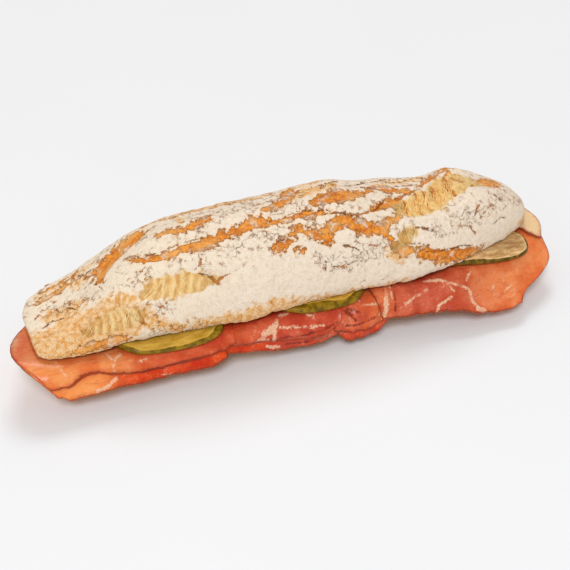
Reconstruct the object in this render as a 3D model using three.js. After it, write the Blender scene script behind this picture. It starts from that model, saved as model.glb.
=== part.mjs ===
// A floured baguette sandwich with cured ham and long gherkin slices, lying on its base.
// Millimetres. +X runs along the loaf, -Y is the side where the ham hangs out, +Z is up.
// The origin is on the table, under the middle of the loaf.
import * as THREE from "three";

// Driving dimensions.
const LOAF_LENGTH = 289;
const LOAF_MIDDLE_X = 2;
const HAM_THICKNESS = 1.2;
const LAYER_PITCH = 1.7; // from one ham layer to the next, with the air between them
const FIRST_LAYER = 0.8; // middle of the lowest ham slice above the cut crumb
const GHERKIN_THICKNESS = 3.1;
const CUT_CLEARANCE = 0.3; // the lower crumb lies this much under the ham's own ground surface
const SECTION_POWER = 2.3; // how boxy the upper crust's section is; 2 is an ellipse
const LIP_TUCK = 0.045; // how far the crust turns in towards the cut, as a share of half the width
const LIP_TUCK_HEIGHT = 9;
const CLOSER_IN_FRONT = 1.2; // over 1, the crust has more points on its torn front than at the back

// Upper half along X: centre Y, half width, height of the crown over the cut.
const UPPER_FORM = [
  [-142.5, -8.5, 23.5, 7],
  [-137, -4, 29, 7.2],
  [-130, -2, 31.5, 7.8],
  [-120, -0.5, 33.5, 11.2],
  [-110, 0, 34, 16.6],
  [-100, 0.6, 34.2, 24.4],
  [-80, 1, 35.5, 36.4],
  [-62, 1, 36.5, 42],
  [-35, 0, 38, 43.8],
  [0, 0.5, 37, 42.8],
  [25, -0.5, 36, 44.8],
  [45, -0.5, 37, 39],
  [62, 0, 38.5, 35.8],
  [80, 1, 38.5, 33.6],
  [94, 2.5, 38.5, 33.6],
  [105, 4, 38, 36.8],
  [118, 5, 38, 33.6],
  [132, 6.5, 38, 28.2],
  [146.5, 8, 38, 24],
];
// Height of the upper half's cut face above the table, along X, at the front and at the back.
const FRONT_LIP = [
  [-142.5, 29.3],
  [-126, 28.9],
  [-114, 29],
  [-104, 30],
  [-50, 30],
  [-38, 29],
  [-30, 29.2],
  [-22, 30],
  [30, 30],
  [48, 29.4],
  [60, 29.4],
  [70, 30.1],
  [90, 30.3],
  [125, 30.4],
  [146.5, 30.4],
];
const BACK_LIP = [
  [-142.5, 29.3],
  [-126, 28],
  [-100, 27.2],
  [20, 27.2],
  [36, 28.8],
  [72, 28.8],
  [125, 28.8],
  [146.5, 29.6],
];
// The surface that the ham lies on and hangs down from, along X: where the front bend starts
// (its distance in front of the middle), droop in degrees, bend radius, height of the flat.
const DRAPE = [
  [-153, 24, 57, 9, 24.4],
  [-138, 29.5, 62, 8, 23.5],
  [-110, 32, 66, 7.5, 23],
  [-60, 33, 68, 7, 23],
  [-20, 33, 70, 7, 23],
  [20, 33, 70, 7, 23],
  [42, 33, 66, 8, 23],
  [60, 32, 50, 10, 23.6],
  [80, 29, 36, 14, 24.8],
  [105, 22, 30, 18, 25],
  [125, 16, 30, 18, 25],
  [145, 9, 30, 18, 24.2],
  [162, 3, 30, 18, 21.5],
];
const BACK_BEND = { start: 34, droop: 48, radius: 7 };
const GHERKIN_DROOP = 26; // the stiffer gherkins bend down no further than this
const GHERKIN_GAP = 0.45; // between a gherkin and the ham under it
const LOWER_LENGTH = 0.985; // length of the lower half as a share of the upper one's
// How strongly the ham waves, along X.
const WAVE_STRENGTH = [
  [-153, 0.5],
  [-60, 0.6],
  [0, 0.8],
  [26, 1.1],
  [60, 0.9],
  [100, 0.8],
  [162, 0.8],
];

// Tears in the crust, as lines of [X, distance up from the front lip, half width].
const TEARS = [
  { depth: 3.2, line: [[-118, 14, 4], [-108, 14.5, 6], [-98, 14, 7], [-90, 15, 5]] },
  { depth: 1.5, line: [[-128, 5, 3], [-115, 5, 4], [-98, 4, 4]] },
  { depth: 2.8, line: [[-88, 26, 4], [-80, 26.5, 6], [-70, 27.5, 7], [-60, 27.5, 6], [-45, 27.5, 3]] },
  { depth: 2.6, line: [[58, 42, 4], [68, 42, 7.5], [80, 42, 9], [92, 47, 11], [104, 50, 12], [118, 46, 9]] },
  { depth: 1.6, line: [[118, 46, 9], [126, 36, 4]] },
  { depth: 1.2, line: [[50, 20, 3], [64, 15, 4], [74, 9, 5], [84, 4, 5], [98, 1, 3]] },
  { depth: 1.1, line: [[-102, 46, 4], [-94, 57, 5], [-82, 67, 5]] },
  { depth: 1.1, line: [[-80, 44, 5], [-60, 46, 5], [-42, 50, 5], [-20, 54, 5]] },
  { depth: 1.0, line: [[0, 42, 4], [14, 36, 5], [24, 41, 5], [38, 35, 5], [48, 37, 4]] },
];

// A smooth curve through knots of [x, value, value ...], as an array of values at x.
function along(knots, x) {
  const count = knots.length;
  const at = THREE.MathUtils.clamp(x, knots[0][0], knots[count - 1][0]);
  let i = 0;
  while (i < count - 2 && at > knots[i + 1][0]) i++;
  const slope = (k, j) => {
    const before = knots[Math.max(k - 1, 0)];
    const after = knots[Math.min(k + 1, count - 1)];
    return (after[j] - before[j]) / (after[0] - before[0]);
  };
  const span = knots[i + 1][0] - knots[i][0];
  const t = (at - knots[i][0]) / span;
  const values = [];
  for (let j = 1; j < knots[i].length; j++) {
    const level = THREE.MathUtils.lerp(knots[i][j], knots[i + 1][j], 3 * t ** 2 - 2 * t ** 3);
    const lean = (t ** 3 - 2 * t ** 2 + t) * slope(i, j) + (t ** 3 - t ** 2) * slope(i + 1, j);
    values.push(level + lean * span);
  }
  return values;
}

// 0 below low, 1 above high, smooth between.
function ramp(value, low, high) {
  return THREE.MathUtils.smoothstep(value, low, high);
}

// The rounding of the loaf's ends: 1 in the middle and 0 at the tips.
function endRound(x, leftPower, rightPower) {
  const share = THREE.MathUtils.clamp((x - LOAF_MIDDLE_X) / (LOAF_LENGTH / 2), -1, 1);
  const power = share < 0 ? leftPower : rightPower;
  return (1 - Math.abs(share) ** power) ** (1 / power);
}

// X of a station, with the stations closer together at both tips.
function stationX(i, count) {
  return LOAF_MIDDLE_X - (LOAF_LENGTH / 2) * Math.cos((Math.PI * i) / count);
}

// Height of the upper half's cut face: raised by the gherkins in front, lower behind.
function cutFace(x, y) {
  const front = along(FRONT_LIP, x)[0];
  const back = along(BACK_LIP, x)[0];
  return THREE.MathUtils.lerp(front, back, ramp(y, -6, 12));
}

// How deep the crust is torn at a place of [x, distance up from the front lip].
function tearDepth(x, up) {
  let deepest = 0;
  for (const { depth, line } of TEARS) {
    for (let i = 0; i + 1 < line.length; i++) {
      const [ax, ay, aw] = line[i];
      const [bx, by, bw] = line[i + 1];
      const length2 = (bx - ax) ** 2 + (by - ay) ** 2;
      const t = THREE.MathUtils.clamp(((x - ax) * (bx - ax) + (up - ay) * (by - ay)) / length2, 0, 1);
      const away = Math.hypot(x - ax - t * (bx - ax), up - ay - t * (by - ay));
      const half = aw + t * (bw - aw);
      deepest = Math.max(deepest, depth * (1 - ramp(away, half * 0.2, half * 1.4)));
    }
  }
  return deepest;
}

// One section of the upper crust, from the front lip over the crown to the back lip.
function upperSection(x, count) {
  const [middle, half, rise] = along(UPPER_FORM, x);
  const width = half * endRound(x, 12, 2.8);
  const height = rise * endRound(x, 4, 3);
  const points = [];
  for (let j = 0; j <= count; j++) {
    const angle = Math.PI * (j / count) ** CLOSER_IN_FRONT;
    const side = Math.sign(Math.cos(angle)) * Math.abs(Math.cos(angle)) ** (2 / SECTION_POWER);
    const up = height * Math.sin(angle) ** (2 / SECTION_POWER);
    const tuck = 1 - LIP_TUCK * (1 - Math.min(up / LIP_TUCK_HEIGHT, 1)) ** 2;
    const y = middle - width * side * tuck;
    points.push(new THREE.Vector2(y, cutFace(x, y) + up));
  }
  return points;
}

// The same section with its tears pressed in.
function tornSection(x, count) {
  const smooth = upperSection(x, count);
  let up = 0;
  return smooth.map((p, j) => {
    if (j > 0) up += p.distanceTo(smooth[j - 1]);
    if (j === 0 || j === count) return p.clone();
    const tangent = smooth[j + 1].clone().sub(smooth[j - 1]);
    const inward = new THREE.Vector2(tangent.y, -tangent.x);
    if (inward.length() < 1e-6) return p.clone();
    const room = Math.min(1, inward.length() / 2);
    return p.clone().addScaledVector(inward.normalize(), tearDepth(x, up) * room);
  });
}

// A closed solid through rings of equally many points, ending in one point at each tip.
function ringSolid(tipA, rings, tipB) {
  const points = [tipA, ...rings.flat(), tipB];
  const size = rings[0].length;
  const last = points.length - 1;
  const faces = [];
  for (let j = 0; j < size; j++) {
    const k = (j + 1) % size;
    faces.push(0, 1 + k, 1 + j);
    for (let i = 0; i + 1 < rings.length; i++) {
      const a = 1 + i * size;
      const b = a + size;
      faces.push(a + j, a + k, b + k, a + j, b + k, b + j);
    }
    const end = 1 + (rings.length - 1) * size;
    faces.push(last, end + j, end + k);
  }
  return solidFrom(points, faces);
}

function solidFrom(points, faces) {
  const geometry = new THREE.BufferGeometry().setFromPoints(points);
  geometry.setIndex(faces);
  if (signedVolume(points, faces) < 0) {
    geometry.setIndex(faces.slice().reverse());
  }
  geometry.computeVertexNormals();
  return geometry;
}

function signedVolume(points, faces) {
  let six = 0;
  for (let i = 0; i < faces.length; i += 3) {
    const [a, b, c] = [points[faces[i]], points[faces[i + 1]], points[faces[i + 2]]];
    six += a.dot(b.clone().cross(c));
  }
  return six / 6;
}

function upperHalf() {
  const stations = 60;
  const around = 36;
  const under = 7;
  const rings = [];
  for (let i = 1; i < stations; i++) {
    const x = stationX(i, stations);
    const crust = tornSection(x, around);
    const [front, back] = [crust[0], crust[around]];
    const ring = crust.map((p) => new THREE.Vector3(x, p.x, p.y));
    for (let j = 1; j < under; j++) {
      const y = THREE.MathUtils.lerp(back.x, front.x, j / under);
      ring.push(new THREE.Vector3(x, y, cutFace(x, y)));
    }
    rings.push(ring);
  }
  const tip = (x) => {
    const y = along(UPPER_FORM, x)[0];
    return new THREE.Vector3(x, y, cutFace(x, y));
  };
  return ringSolid(tip(stationX(0, stations)), rings, tip(stationX(stations, stations)));
}

// The lower half follows the ham's ground surface, and its base is flat on the table.
function lowerHalf() {
  const stations = 32;
  const around = 18;
  const over = 8;
  const power = 2.4;
  const sunk = 2.5; // the round form would end this far below the table, so the base is flat
  const rings = [];
  const groundAt = (x) => along(DRAPE, x)[3] - CUT_CLEARANCE;
  const backEdge = 33;
  for (let i = 1; i < stations; i++) {
    const fullX = stationX(i, stations);
    const x = fullX * LOWER_LENGTH;
    const middle = along(UPPER_FORM, x)[0];
    const round = endRound(fullX, 6, 5);
    const front = middle - (along(DRAPE, x)[0] + middle) * round;
    const back = middle + (backEdge - middle) * round;
    const ground = groundAt(x);
    const ring = [];
    for (let j = 0; j <= around; j++) {
      const angle = (Math.PI * j) / around;
      const side = Math.sign(Math.cos(angle)) * Math.abs(Math.cos(angle)) ** (2 / power);
      const down = (ground + sunk) * round * Math.sin(angle) ** (2 / power);
      const y = (front + back) / 2 - ((back - front) / 2) * side;
      ring.push(new THREE.Vector3(x, y, Math.max(ground - down, 0)));
    }
    for (let j = 1; j < over; j++) {
      ring.push(new THREE.Vector3(x, THREE.MathUtils.lerp(back, front, j / over), ground));
    }
    rings.push(ring);
  }
  const tip = (x) => new THREE.Vector3(x * LOWER_LENGTH, along(UPPER_FORM, x)[0], groundAt(x));
  return ringSolid(tip(stationX(0, stations)), rings, tip(stationX(stations, stations)));
}

// A point of the drape: x along the loaf, reach in front of the middle, lift above the ground.
function drape(x, reach, lift, droopLimit = 90) {
  const [start, droop, radius, ground] = along(DRAPE, x);
  const front = reach >= 0;
  const bend = front ? start : BACK_BEND.start;
  const limit = THREE.MathUtils.degToRad(front ? Math.min(droop, droopLimit) : BACK_BEND.droop);
  const curve = front ? radius : BACK_BEND.radius;
  const past = Math.max(Math.abs(reach) - bend, 0);
  const angle = Math.min(past / curve, limit);
  const straight = Math.max(past - curve * limit, 0);
  const out = Math.min(Math.abs(reach), bend) + curve * Math.sin(angle) + straight * Math.cos(limit);
  const down = curve * (1 - Math.cos(angle)) + straight * Math.sin(limit);
  const away = out + lift * Math.sin(angle);
  return new THREE.Vector3(x, front ? -away : away, ground - down + lift * Math.cos(angle));
}

// The ham's shared waves: none under the bread, growing towards the hanging edge.
function hamWave(x, reach) {
  const start = along(DRAPE, x)[0];
  const strength = along(WAVE_STRENGTH, x)[0];
  const free = reach > 0 ? ramp(reach, start, start + 20) : ramp(-reach, BACK_BEND.start, 46);
  return free * strength * (1.1 * Math.sin(x / 9.5 + 0.6) + 0.6 * Math.sin(x / 4.6 + 2));
}

// Ham slices. Each is a patch of the drape: front and back edges as [x, reach], left and right
// edges as [reach, x], and its layer, counted from the bottom, as [x, layer].
const HAM_SLICES = {
  ham_left_lower: {
    flatRows: 4,
    front: [[-153, 43], [-137, 46], [-131, 48.8], [-110, 48.6], [-80, 49.4], [-56, 50.2], [-49, 48.6]],
    back: [[-153, -30], [-120, -43], [-80, -40], [-49, -42]],
    left: [
      [-43, -126], [-16, -134], [0, -147], [12, -152],
      [26, -151], [38, -143], [46, -137.5], [50, -136],
    ],
    right: [[-43, -51], [10, -49.3], [50, -49.3]],
    layer: [[-153, 0], [-48, 0]],
  },
  ham_left_upper: {
    flatRows: 4,
    front: [
      [-153, 39], [-139, 40.7], [-131, 41.4], [-124, 39.1], [-117, 38.8],
      [-108, 41.2], [-90, 43.4], [-62, 43.7], [-45, 41.5],
    ],
    back: [[-153, -24], [-120, -38], [-80, -43], [-45, -37]],
    left: [[-43, -122], [-14, -133], [1, -147], [12, -153.5], [24, -153.5], [33, -146], [41, -140]],
    right: [[-43, -47.5], [20, -44.5], [44, -46]],
    layer: [[-153, 2], [-142, 1.7], [-130, 1.25], [-116, 1], [-43, 1]],
  },
  ham_middle_lower: {
    flatRows: 1,
    front: [[-49, 45.2], [-43, 46.5], [-34, 47.4], [-22, 50.2], [-8, 51.2], [2, 51], [11.5, 49.6]],
    back: [[-51, -40], [-20, -44], [12, -40]],
    left: [[-44, -50], [10, -47], [50, -48.3]],
    right: [[-44, 11], [30, 12.4], [51, 12]],
    layer: [[-52, 0], [13, 0]],
  },
  ham_middle_upper: {
    flatRows: 1,
    front: [
      [-45, 42.4], [-37, 42.7], [-29, 43.1], [-18, 45.4],
      [-4, 47], [5, 46.6], [10, 44.8], [17, 41],
    ],
    back: [[-45, -42], [-15, -39], [17, -42]],
    left: [[-43, -45], [20, -43], [44, -44.5]],
    right: [[-43, 13], [20, 16], [36, 14.5], [47, 8.5]],
    layer: [[-46, 1], [18, 1]],
  },
  ham_fold_lower: {
    flatRows: 1,
    front: [[12, 50], [17, 54.2], [26, 54.3], [34, 53.4], [40, 50]],
    back: [[11, -42], [46, -39]],
    left: [[-42, 12.5], [20, 13.2], [54, 12.8]],
    right: [[-42, 46], [30, 46], [44, 41], [54, 37]],
    layer: [[10, 0], [50, 0]],
  },
  ham_fold_upper: {
    flatRows: 1,
    front: [[9, 46.8], [15, 49], [24, 50], [33, 49.3], [40, 46.5]],
    back: [[13, -37], [46, -43]],
    left: [[-42, 14.5], [20, 17.5], [36, 16], [47, 10], [50, 9.5]],
    right: [[-42, 45], [30, 45], [44, 40], [50, 36.5]],
    layer: [[8, 1], [48, 1]],
  },
  ham_right_lower: {
    flatRows: 4,
    front: [
      [36, 47], [47, 48.2], [61, 50.5], [79, 54], [90, 57.4],
      [105, 59], [112, 58.5], [118, 56], [150, 53],
    ],
    back: [[36, -40], [70, -43], [110, -42], [150, -34]],
    left: [[-43, 42], [30, 34], [42, 36], [48, 37.5]],
    right: [
      [-43, 140], [-20, 149], [10, 149.5], [27, 149.5], [34, 145],
      [42, 135], [49, 123.5], [54, 119], [59, 116.5],
    ],
    layer: [[36, 2], [46.5, 2], [66, 0], [150, 0]],
  },
  ham_right_upper: {
    flatRows: 4,
    front: [[76, 4], [128, 6], [136, 10.5], [143, 17], [154, 19.5]],
    back: [[76, -44], [110, -38], [154, -30]],
    left: [[-44, 80], [18, 76]],
    right: [[-44, 136], [-20, 149], [0, 154], [8.5, 152.5], [18.5, 147.5]],
    layer: [[76, 1], [154, 1]],
  },
};

// Reach of a slice's row at x: wide steps across the flat, short ones around the bends.
const BACK_ROWS = 3;
const BEND_ROWS = 4;
const EDGE_ROWS = 3;

function rowReach(slice, x, row) {
  const back = along(slice.back, x)[0];
  const front = along(slice.front, x)[0];
  const [start, droop, radius] = along(DRAPE, x);
  const backBend = Math.max(-BACK_BEND.start, back + 3);
  const bendStart = Math.min(start, front - 4);
  const bendEnd = Math.min(start + radius * THREE.MathUtils.degToRad(droop), front - 2);
  if (row <= BACK_ROWS) return THREE.MathUtils.lerp(back, backBend, row / BACK_ROWS);
  const flatRow = row - BACK_ROWS;
  if (flatRow <= slice.flatRows) return THREE.MathUtils.lerp(backBend, bendStart, flatRow / slice.flatRows);
  const bendRow = flatRow - slice.flatRows;
  if (bendRow <= BEND_ROWS) return THREE.MathUtils.lerp(bendStart, bendEnd, bendRow / BEND_ROWS);
  return THREE.MathUtils.lerp(bendEnd, front, (bendRow - BEND_ROWS) / EDGE_ROWS);
}

// A slice's point in column share u, row, on its upper (1) or lower (-1) face.
function hamPoint(slice, u, row, side) {
  let x = THREE.MathUtils.lerp(along(slice.left, 0)[0], along(slice.right, 0)[0], u);
  let reach = 0;
  for (let pass = 0; pass < 6; pass++) {
    reach = rowReach(slice, x, row);
    x = THREE.MathUtils.lerp(along(slice.left, reach)[0], along(slice.right, reach)[0], u);
  }
  const layer = along(slice.layer, x)[0];
  const lift = FIRST_LAYER + layer * LAYER_PITCH + hamWave(x, reach) + (side * HAM_THICKNESS) / 2;
  return drape(x, reach, lift);
}

function hamSlice(slice) {
  const length = slice.layer.at(-1)[0] - slice.layer[0][0];
  const columns = Math.round(THREE.MathUtils.clamp(length / 6.5, 6, 17));
  const rows = BACK_ROWS + slice.flatRows + BEND_ROWS + EDGE_ROWS;
  const points = [];
  for (const side of [1, -1]) {
    for (let i = 0; i <= columns; i++) {
      for (let j = 0; j <= rows; j++) points.push(hamPoint(slice, i / columns, j, side));
    }
  }
  const at = (i, j) => i * (rows + 1) + j;
  const lower = (columns + 1) * (rows + 1);
  const faces = [];
  for (let i = 0; i < columns; i++) {
    for (let j = 0; j < rows; j++) {
      const [a, b, c, d] = [at(i, j), at(i + 1, j), at(i + 1, j + 1), at(i, j + 1)];
      faces.push(a, b, c, a, c, d);
      faces.push(lower + a, lower + c, lower + b, lower + a, lower + d, lower + c);
    }
  }
  const rim = [];
  for (let i = 0; i < columns; i++) rim.push(at(i, 0));
  for (let j = 0; j < rows; j++) rim.push(at(columns, j));
  for (let i = columns; i > 0; i--) rim.push(at(i, rows));
  for (let j = rows; j > 0; j--) rim.push(at(0, j));
  rim.forEach((a, i) => {
    const b = rim[(i + 1) % rim.length];
    faces.push(a, lower + a, b, b, lower + a, lower + b);
  });
  return solidFrom(points, faces);
}

// Long gherkin slices: middle [x, reach], length, width, turn in degrees, ham layers below.
const GHERKINS = {
  gherkin_left: { x: -75.7, reach: 27, length: 57.5, width: 24.5, turn: 4, layers: 2 },
  gherkin_middle: { x: 6.3, reach: 25.2, length: 54, width: 24.5, turn: 4, layers: 2 },
  gherkin_right: { x: 102, reach: 19.6, length: 68, width: 23, turn: 4, layers: 1 },
};

function gherkinPoint(form, radius, angle, side) {
  const blunt = 2.5;
  const round = (value) => Math.sign(value) * Math.abs(value) ** (2 / blunt);
  const px = (form.length / 2) * radius * round(Math.cos(angle));
  const py = (form.width / 2) * radius * round(Math.sin(angle));
  const turn = THREE.MathUtils.degToRad(form.turn);
  const x = form.x + px * Math.cos(turn) - py * Math.sin(turn);
  const reach = form.reach + px * Math.sin(turn) + py * Math.cos(turn);
  const below = FIRST_LAYER + (form.layers - 1) * LAYER_PITCH + HAM_THICKNESS / 2;
  const lift = below + GHERKIN_GAP + (GHERKIN_THICKNESS * (1 + side)) / 2;
  return drape(x, reach, lift, GHERKIN_DROOP);
}

function gherkinSlice(form) {
  const sectors = 28;
  const radii = [0.35, 0.7, 1];
  const rings = radii.length;
  const points = [];
  for (const side of [1, -1]) {
    points.push(gherkinPoint(form, 0, 0, side));
    for (const radius of radii) {
      for (let k = 0; k < sectors; k++) {
        points.push(gherkinPoint(form, radius, (2 * Math.PI * k) / sectors, side));
      }
    }
  }
  const lower = 1 + rings * sectors;
  const at = (ring, k) => 1 + ring * sectors + (k % sectors);
  const faces = [];
  for (let k = 0; k < sectors; k++) {
    faces.push(0, at(0, k), at(0, k + 1));
    faces.push(lower, lower + at(0, k + 1), lower + at(0, k));
    for (let ring = 0; ring + 1 < rings; ring++) {
      const [a, b, c, d] = [at(ring, k), at(ring + 1, k), at(ring + 1, k + 1), at(ring, k + 1)];
      faces.push(a, b, c, a, c, d);
      faces.push(lower + a, lower + c, lower + b, lower + a, lower + d, lower + c);
    }
    const [a, b] = [at(rings - 1, k), at(rings - 1, k + 1)];
    faces.push(a, lower + a, b, b, lower + a, lower + b);
  }
  return solidFrom(points, faces);
}

const MATERIALS = {
  floured_crust: new THREE.MeshStandardMaterial({ color: "#e3d2b6", roughness: 0.9, metalness: 0 }),
  lower_crust: new THREE.MeshStandardMaterial({ color: "#d9b98a", roughness: 0.85, metalness: 0 }),
  cured_ham: new THREE.MeshStandardMaterial({ color: "#cf5f45", roughness: 0.4, metalness: 0 }),
  gherkin: new THREE.MeshStandardMaterial({ color: "#8c8434", roughness: 0.35, metalness: 0 }),
};

const sandwich = new THREE.Group();
sandwich.name = "sandwich";

function addPiece(name, geometry, material) {
  const mesh = new THREE.Mesh(geometry, material);
  mesh.name = name;
  sandwich.add(mesh);
}

addPiece("bread_upper", upperHalf(), MATERIALS.floured_crust);
addPiece("bread_lower", lowerHalf(), MATERIALS.lower_crust);
for (const [name, slice] of Object.entries(HAM_SLICES)) {
  addPiece(name, hamSlice(slice), MATERIALS.cured_ham);
}
for (const [name, form] of Object.entries(GHERKINS)) {
  addPiece(name, gherkinSlice(form), MATERIALS.gherkin);
}

export default sandwich;
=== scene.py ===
"""A floured baguette sandwich with cured ham and gherkin slices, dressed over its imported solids.

Sizes are in millimetres until a mesh is made. +X runs along the loaf, -Y is the side where the
ham hangs out and +Z is up. "Up" is the distance along the crust from the front lip, and "reach"
is the distance along the ham in front of the loaf's middle.
"""

import itertools
import math

import bpy
import numpy as np
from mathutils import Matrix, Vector


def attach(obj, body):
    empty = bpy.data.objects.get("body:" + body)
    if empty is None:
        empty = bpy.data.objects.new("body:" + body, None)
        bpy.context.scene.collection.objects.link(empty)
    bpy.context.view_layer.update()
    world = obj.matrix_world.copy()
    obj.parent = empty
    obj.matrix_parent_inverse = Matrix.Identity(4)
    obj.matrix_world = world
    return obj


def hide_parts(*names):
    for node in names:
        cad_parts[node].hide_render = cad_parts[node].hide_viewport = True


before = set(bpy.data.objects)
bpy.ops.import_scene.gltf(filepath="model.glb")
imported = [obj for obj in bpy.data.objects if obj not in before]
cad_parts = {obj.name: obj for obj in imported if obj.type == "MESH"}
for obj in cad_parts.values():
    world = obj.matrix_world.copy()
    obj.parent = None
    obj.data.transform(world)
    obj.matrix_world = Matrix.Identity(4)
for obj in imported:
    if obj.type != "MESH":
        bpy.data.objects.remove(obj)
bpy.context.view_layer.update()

# Sizes, as in the solids.

LOAF_LENGTH = 289
LOAF_MIDDLE_X = 2
SECTION_POWER = 2.3
LIP_TUCK = 0.045
LIP_TUCK_HEIGHT = 9
CLOSER_IN_FRONT = 1.2
HAM_THICKNESS = 1.2
LAYER_PITCH = 1.7
FIRST_LAYER = 0.8
GHERKIN_THICKNESS = 3.1
GHERKIN_GAP = 0.45
GHERKIN_DROOP = 26
CUT_CLEARANCE = 0.3
LOWER_LENGTH = 0.985
BACK_START, BACK_DROOP, BACK_RADIUS = 34, 48, 7
# How blunt the left and the right end are: the upper half from above and from the side, and the
# lower half.
PLAN_ENDS = (12, 2.8)
SIDE_ENDS = (4, 3)
LOWER_ENDS = (6, 5)
# The crown's far side starts this far up from the front lip. The photo hides it.
FAR_SIDE = (74, 80)
# A mark's depth is kept within this many mm, and is the lowest one where the mark is absent.
MARK_LIMIT = 6.0

# Upper half along X: centre Y, half width, height of the crown over the cut.
UPPER_FORM = [
    (-142.5, -8.5, 23.5, 7), (-137, -4, 29, 7.2), (-130, -2, 31.5, 7.8),
    (-120, -0.5, 33.5, 11.2), (-110, 0, 34, 16.6), (-100, 0.6, 34.2, 24.4),
    (-80, 1, 35.5, 36.4), (-62, 1, 36.5, 42), (-35, 0, 38, 43.8),
    (0, 0.5, 37, 42.8), (25, -0.5, 36, 44.8), (45, -0.5, 37, 39), (62, 0, 38.5, 35.8),
    (80, 1, 38.5, 33.6), (94, 2.5, 38.5, 33.6), (105, 4, 38, 36.8), (118, 5, 38, 33.6),
    (132, 6.5, 38, 28.2), (146.5, 8, 38, 24),
]
# Height of the upper half's cut face above the table, at the front and at the back.
FRONT_LIP = [
    (-142.5, 29.3), (-126, 28.9), (-114, 29), (-104, 30), (-50, 30), (-38, 29), (-30, 29.2),
    (-22, 30), (30, 30), (48, 29.4), (60, 29.4), (70, 30.1), (90, 30.3), (125, 30.4), (146.5, 30.4),
]
BACK_LIP = [
    (-142.5, 29.3), (-126, 28), (-100, 27.2), (20, 27.2), (36, 28.8), (72, 28.8), (125, 28.8),
    (146.5, 29.6),
]
# The surface that the ham lies on: start of the front bend, droop in degrees, radius, height.
DRAPE = [
    (-153, 24, 57, 9, 24.4), (-138, 29.5, 62, 8, 23.5), (-110, 32, 66, 7.5, 23),
    (-60, 33, 68, 7, 23), (-20, 33, 70, 7, 23), (20, 33, 70, 7, 23), (42, 33, 66, 8, 23),
    (60, 32, 50, 10, 23.6), (80, 29, 36, 14, 24.8), (105, 22, 30, 18, 25), (125, 16, 30, 18, 25),
    (145, 9, 30, 18, 24.2), (162, 3, 30, 18, 21.5),
]
# How much the free parts of the ham are waved.
WAVE_STRENGTH = [
    (-153, 0.5), (-60, 0.6), (0, 0.8), (26, 1.1), (60, 0.9), (100, 0.8), (162, 0.8),
]


def along(knots, x):
    """A smooth curve through knots of (x, value, value ...), as an array of values at x."""
    table = np.array(knots, float)
    xs, ys = table[:, 0], table[:, 1:]
    x = np.clip(np.asarray(x, float), xs[0], xs[-1])
    lean = np.empty_like(ys)
    lean[1:-1] = (ys[2:] - ys[:-2]) / (xs[2:] - xs[:-2])[:, None]
    lean[0] = (ys[1] - ys[0]) / (xs[1] - xs[0])
    lean[-1] = (ys[-1] - ys[-2]) / (xs[-1] - xs[-2])
    i = np.clip(np.searchsorted(xs, x) - 1, 0, len(xs) - 2)
    span = (xs[i + 1] - xs[i])[..., None]
    t = (x - xs[i])[..., None] / span
    blend = 3 * t**2 - 2 * t**3
    level = ys[i] + (ys[i + 1] - ys[i]) * blend
    return level + (t**3 - 2 * t**2 + t) * span * lean[i] + (t**3 - t**2) * span * lean[i + 1]


def ramp(value, low, high):
    """0 below low, 1 above high, smooth between."""
    t = np.clip((value - low) / (high - low), 0, 1)
    return t * t * (3 - 2 * t)


def mixed(a, b, share):
    """What lies between a and b: a at share 0 and b at share 1."""
    return a + (b - a) * share


def corner_value(points, seed):
    """A fixed random value, 0 to 1, for each whole-number point."""
    whole = points.astype(np.int64)
    n = whole[..., 0] * 374761393 + whole[..., 1] * 668265263 + whole[..., 2] * 1440662683
    n = (n + seed * 974634777) & 0xFFFFFFFF
    n = ((n ^ (n >> 13)) * 1274126177) & 0xFFFFFFFF
    n = ((n ^ (n >> 15)) * 2246822519) & 0xFFFFFFFF
    return ((n ^ (n >> 16)) & 0xFFFFFF) / 0xFFFFFF


def lumps(points, size, seed):
    """Smooth unevenness from -1 to 1, whose bumps are about size across."""
    p = np.asarray(points, float) / size
    base = np.floor(p)
    t = p - base
    t = t * t * (3 - 2 * t)
    total = 0
    for corner in itertools.product((0, 1), repeat=3):
        weight = np.prod(np.where(np.array(corner) == 1, t, 1 - t), axis=-1)
        total = total + weight * corner_value(base + np.array(corner), seed)
    return 2 * total - 1


def rough(points, layers):
    """Unevenness made of layers of (height, size, seed)."""
    return sum(height * lumps(points, size, seed) for height, size, seed in layers)


def flat_places(x, y=0):
    """Places at one height, for unevenness that changes along x, or along x and y."""
    return np.stack([x, x * 0 + y, x * 0], -1)


def rounded(value, power):
    """A sine or cosine, bent so that the outline it draws is a rounded box and not an ellipse."""
    return np.sign(value) * np.abs(value) ** (2 / power)


def end_round(x, left_power, right_power):
    """The rounding of the loaf's ends: 1 in the middle and 0 at the tips."""
    share = np.clip((x - LOAF_MIDDLE_X) / (LOAF_LENGTH / 2), -1, 1)
    power = np.where(share < 0, left_power, right_power)
    return (1 - np.abs(share) ** power) ** (1 / power)


def cut_face(x, y):
    """Height of the upper half's cut face, from the front lip's to the back lip's."""
    front = along(FRONT_LIP, x)[..., 0]
    back = along(BACK_LIP, x)[..., 0]
    return mixed(front, back, ramp(y, -6, 12))


def drape(x, reach, lift, droop_limit=90.0):
    """Y and Z of a place on the bent surface that ham and gherkins lie on."""
    form = along(DRAPE, x)
    start, droop, radius, ground = (form[..., i] for i in range(4))
    front = reach >= 0
    bend = np.where(front, start, BACK_START)
    limit = np.radians(np.where(front, np.minimum(droop, droop_limit), BACK_DROOP))
    curve = np.where(front, radius, BACK_RADIUS)
    past = np.maximum(np.abs(reach) - bend, 0)
    angle = np.minimum(past / curve, limit)
    straight = np.maximum(past - curve * limit, 0)
    out = np.minimum(np.abs(reach), bend) + curve * np.sin(angle) + straight * np.cos(limit)
    down = curve * (1 - np.cos(angle)) + straight * np.sin(limit)
    away = out + lift * np.sin(angle)
    return np.where(front, -away, away), ground - down + lift * np.cos(angle)


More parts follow.
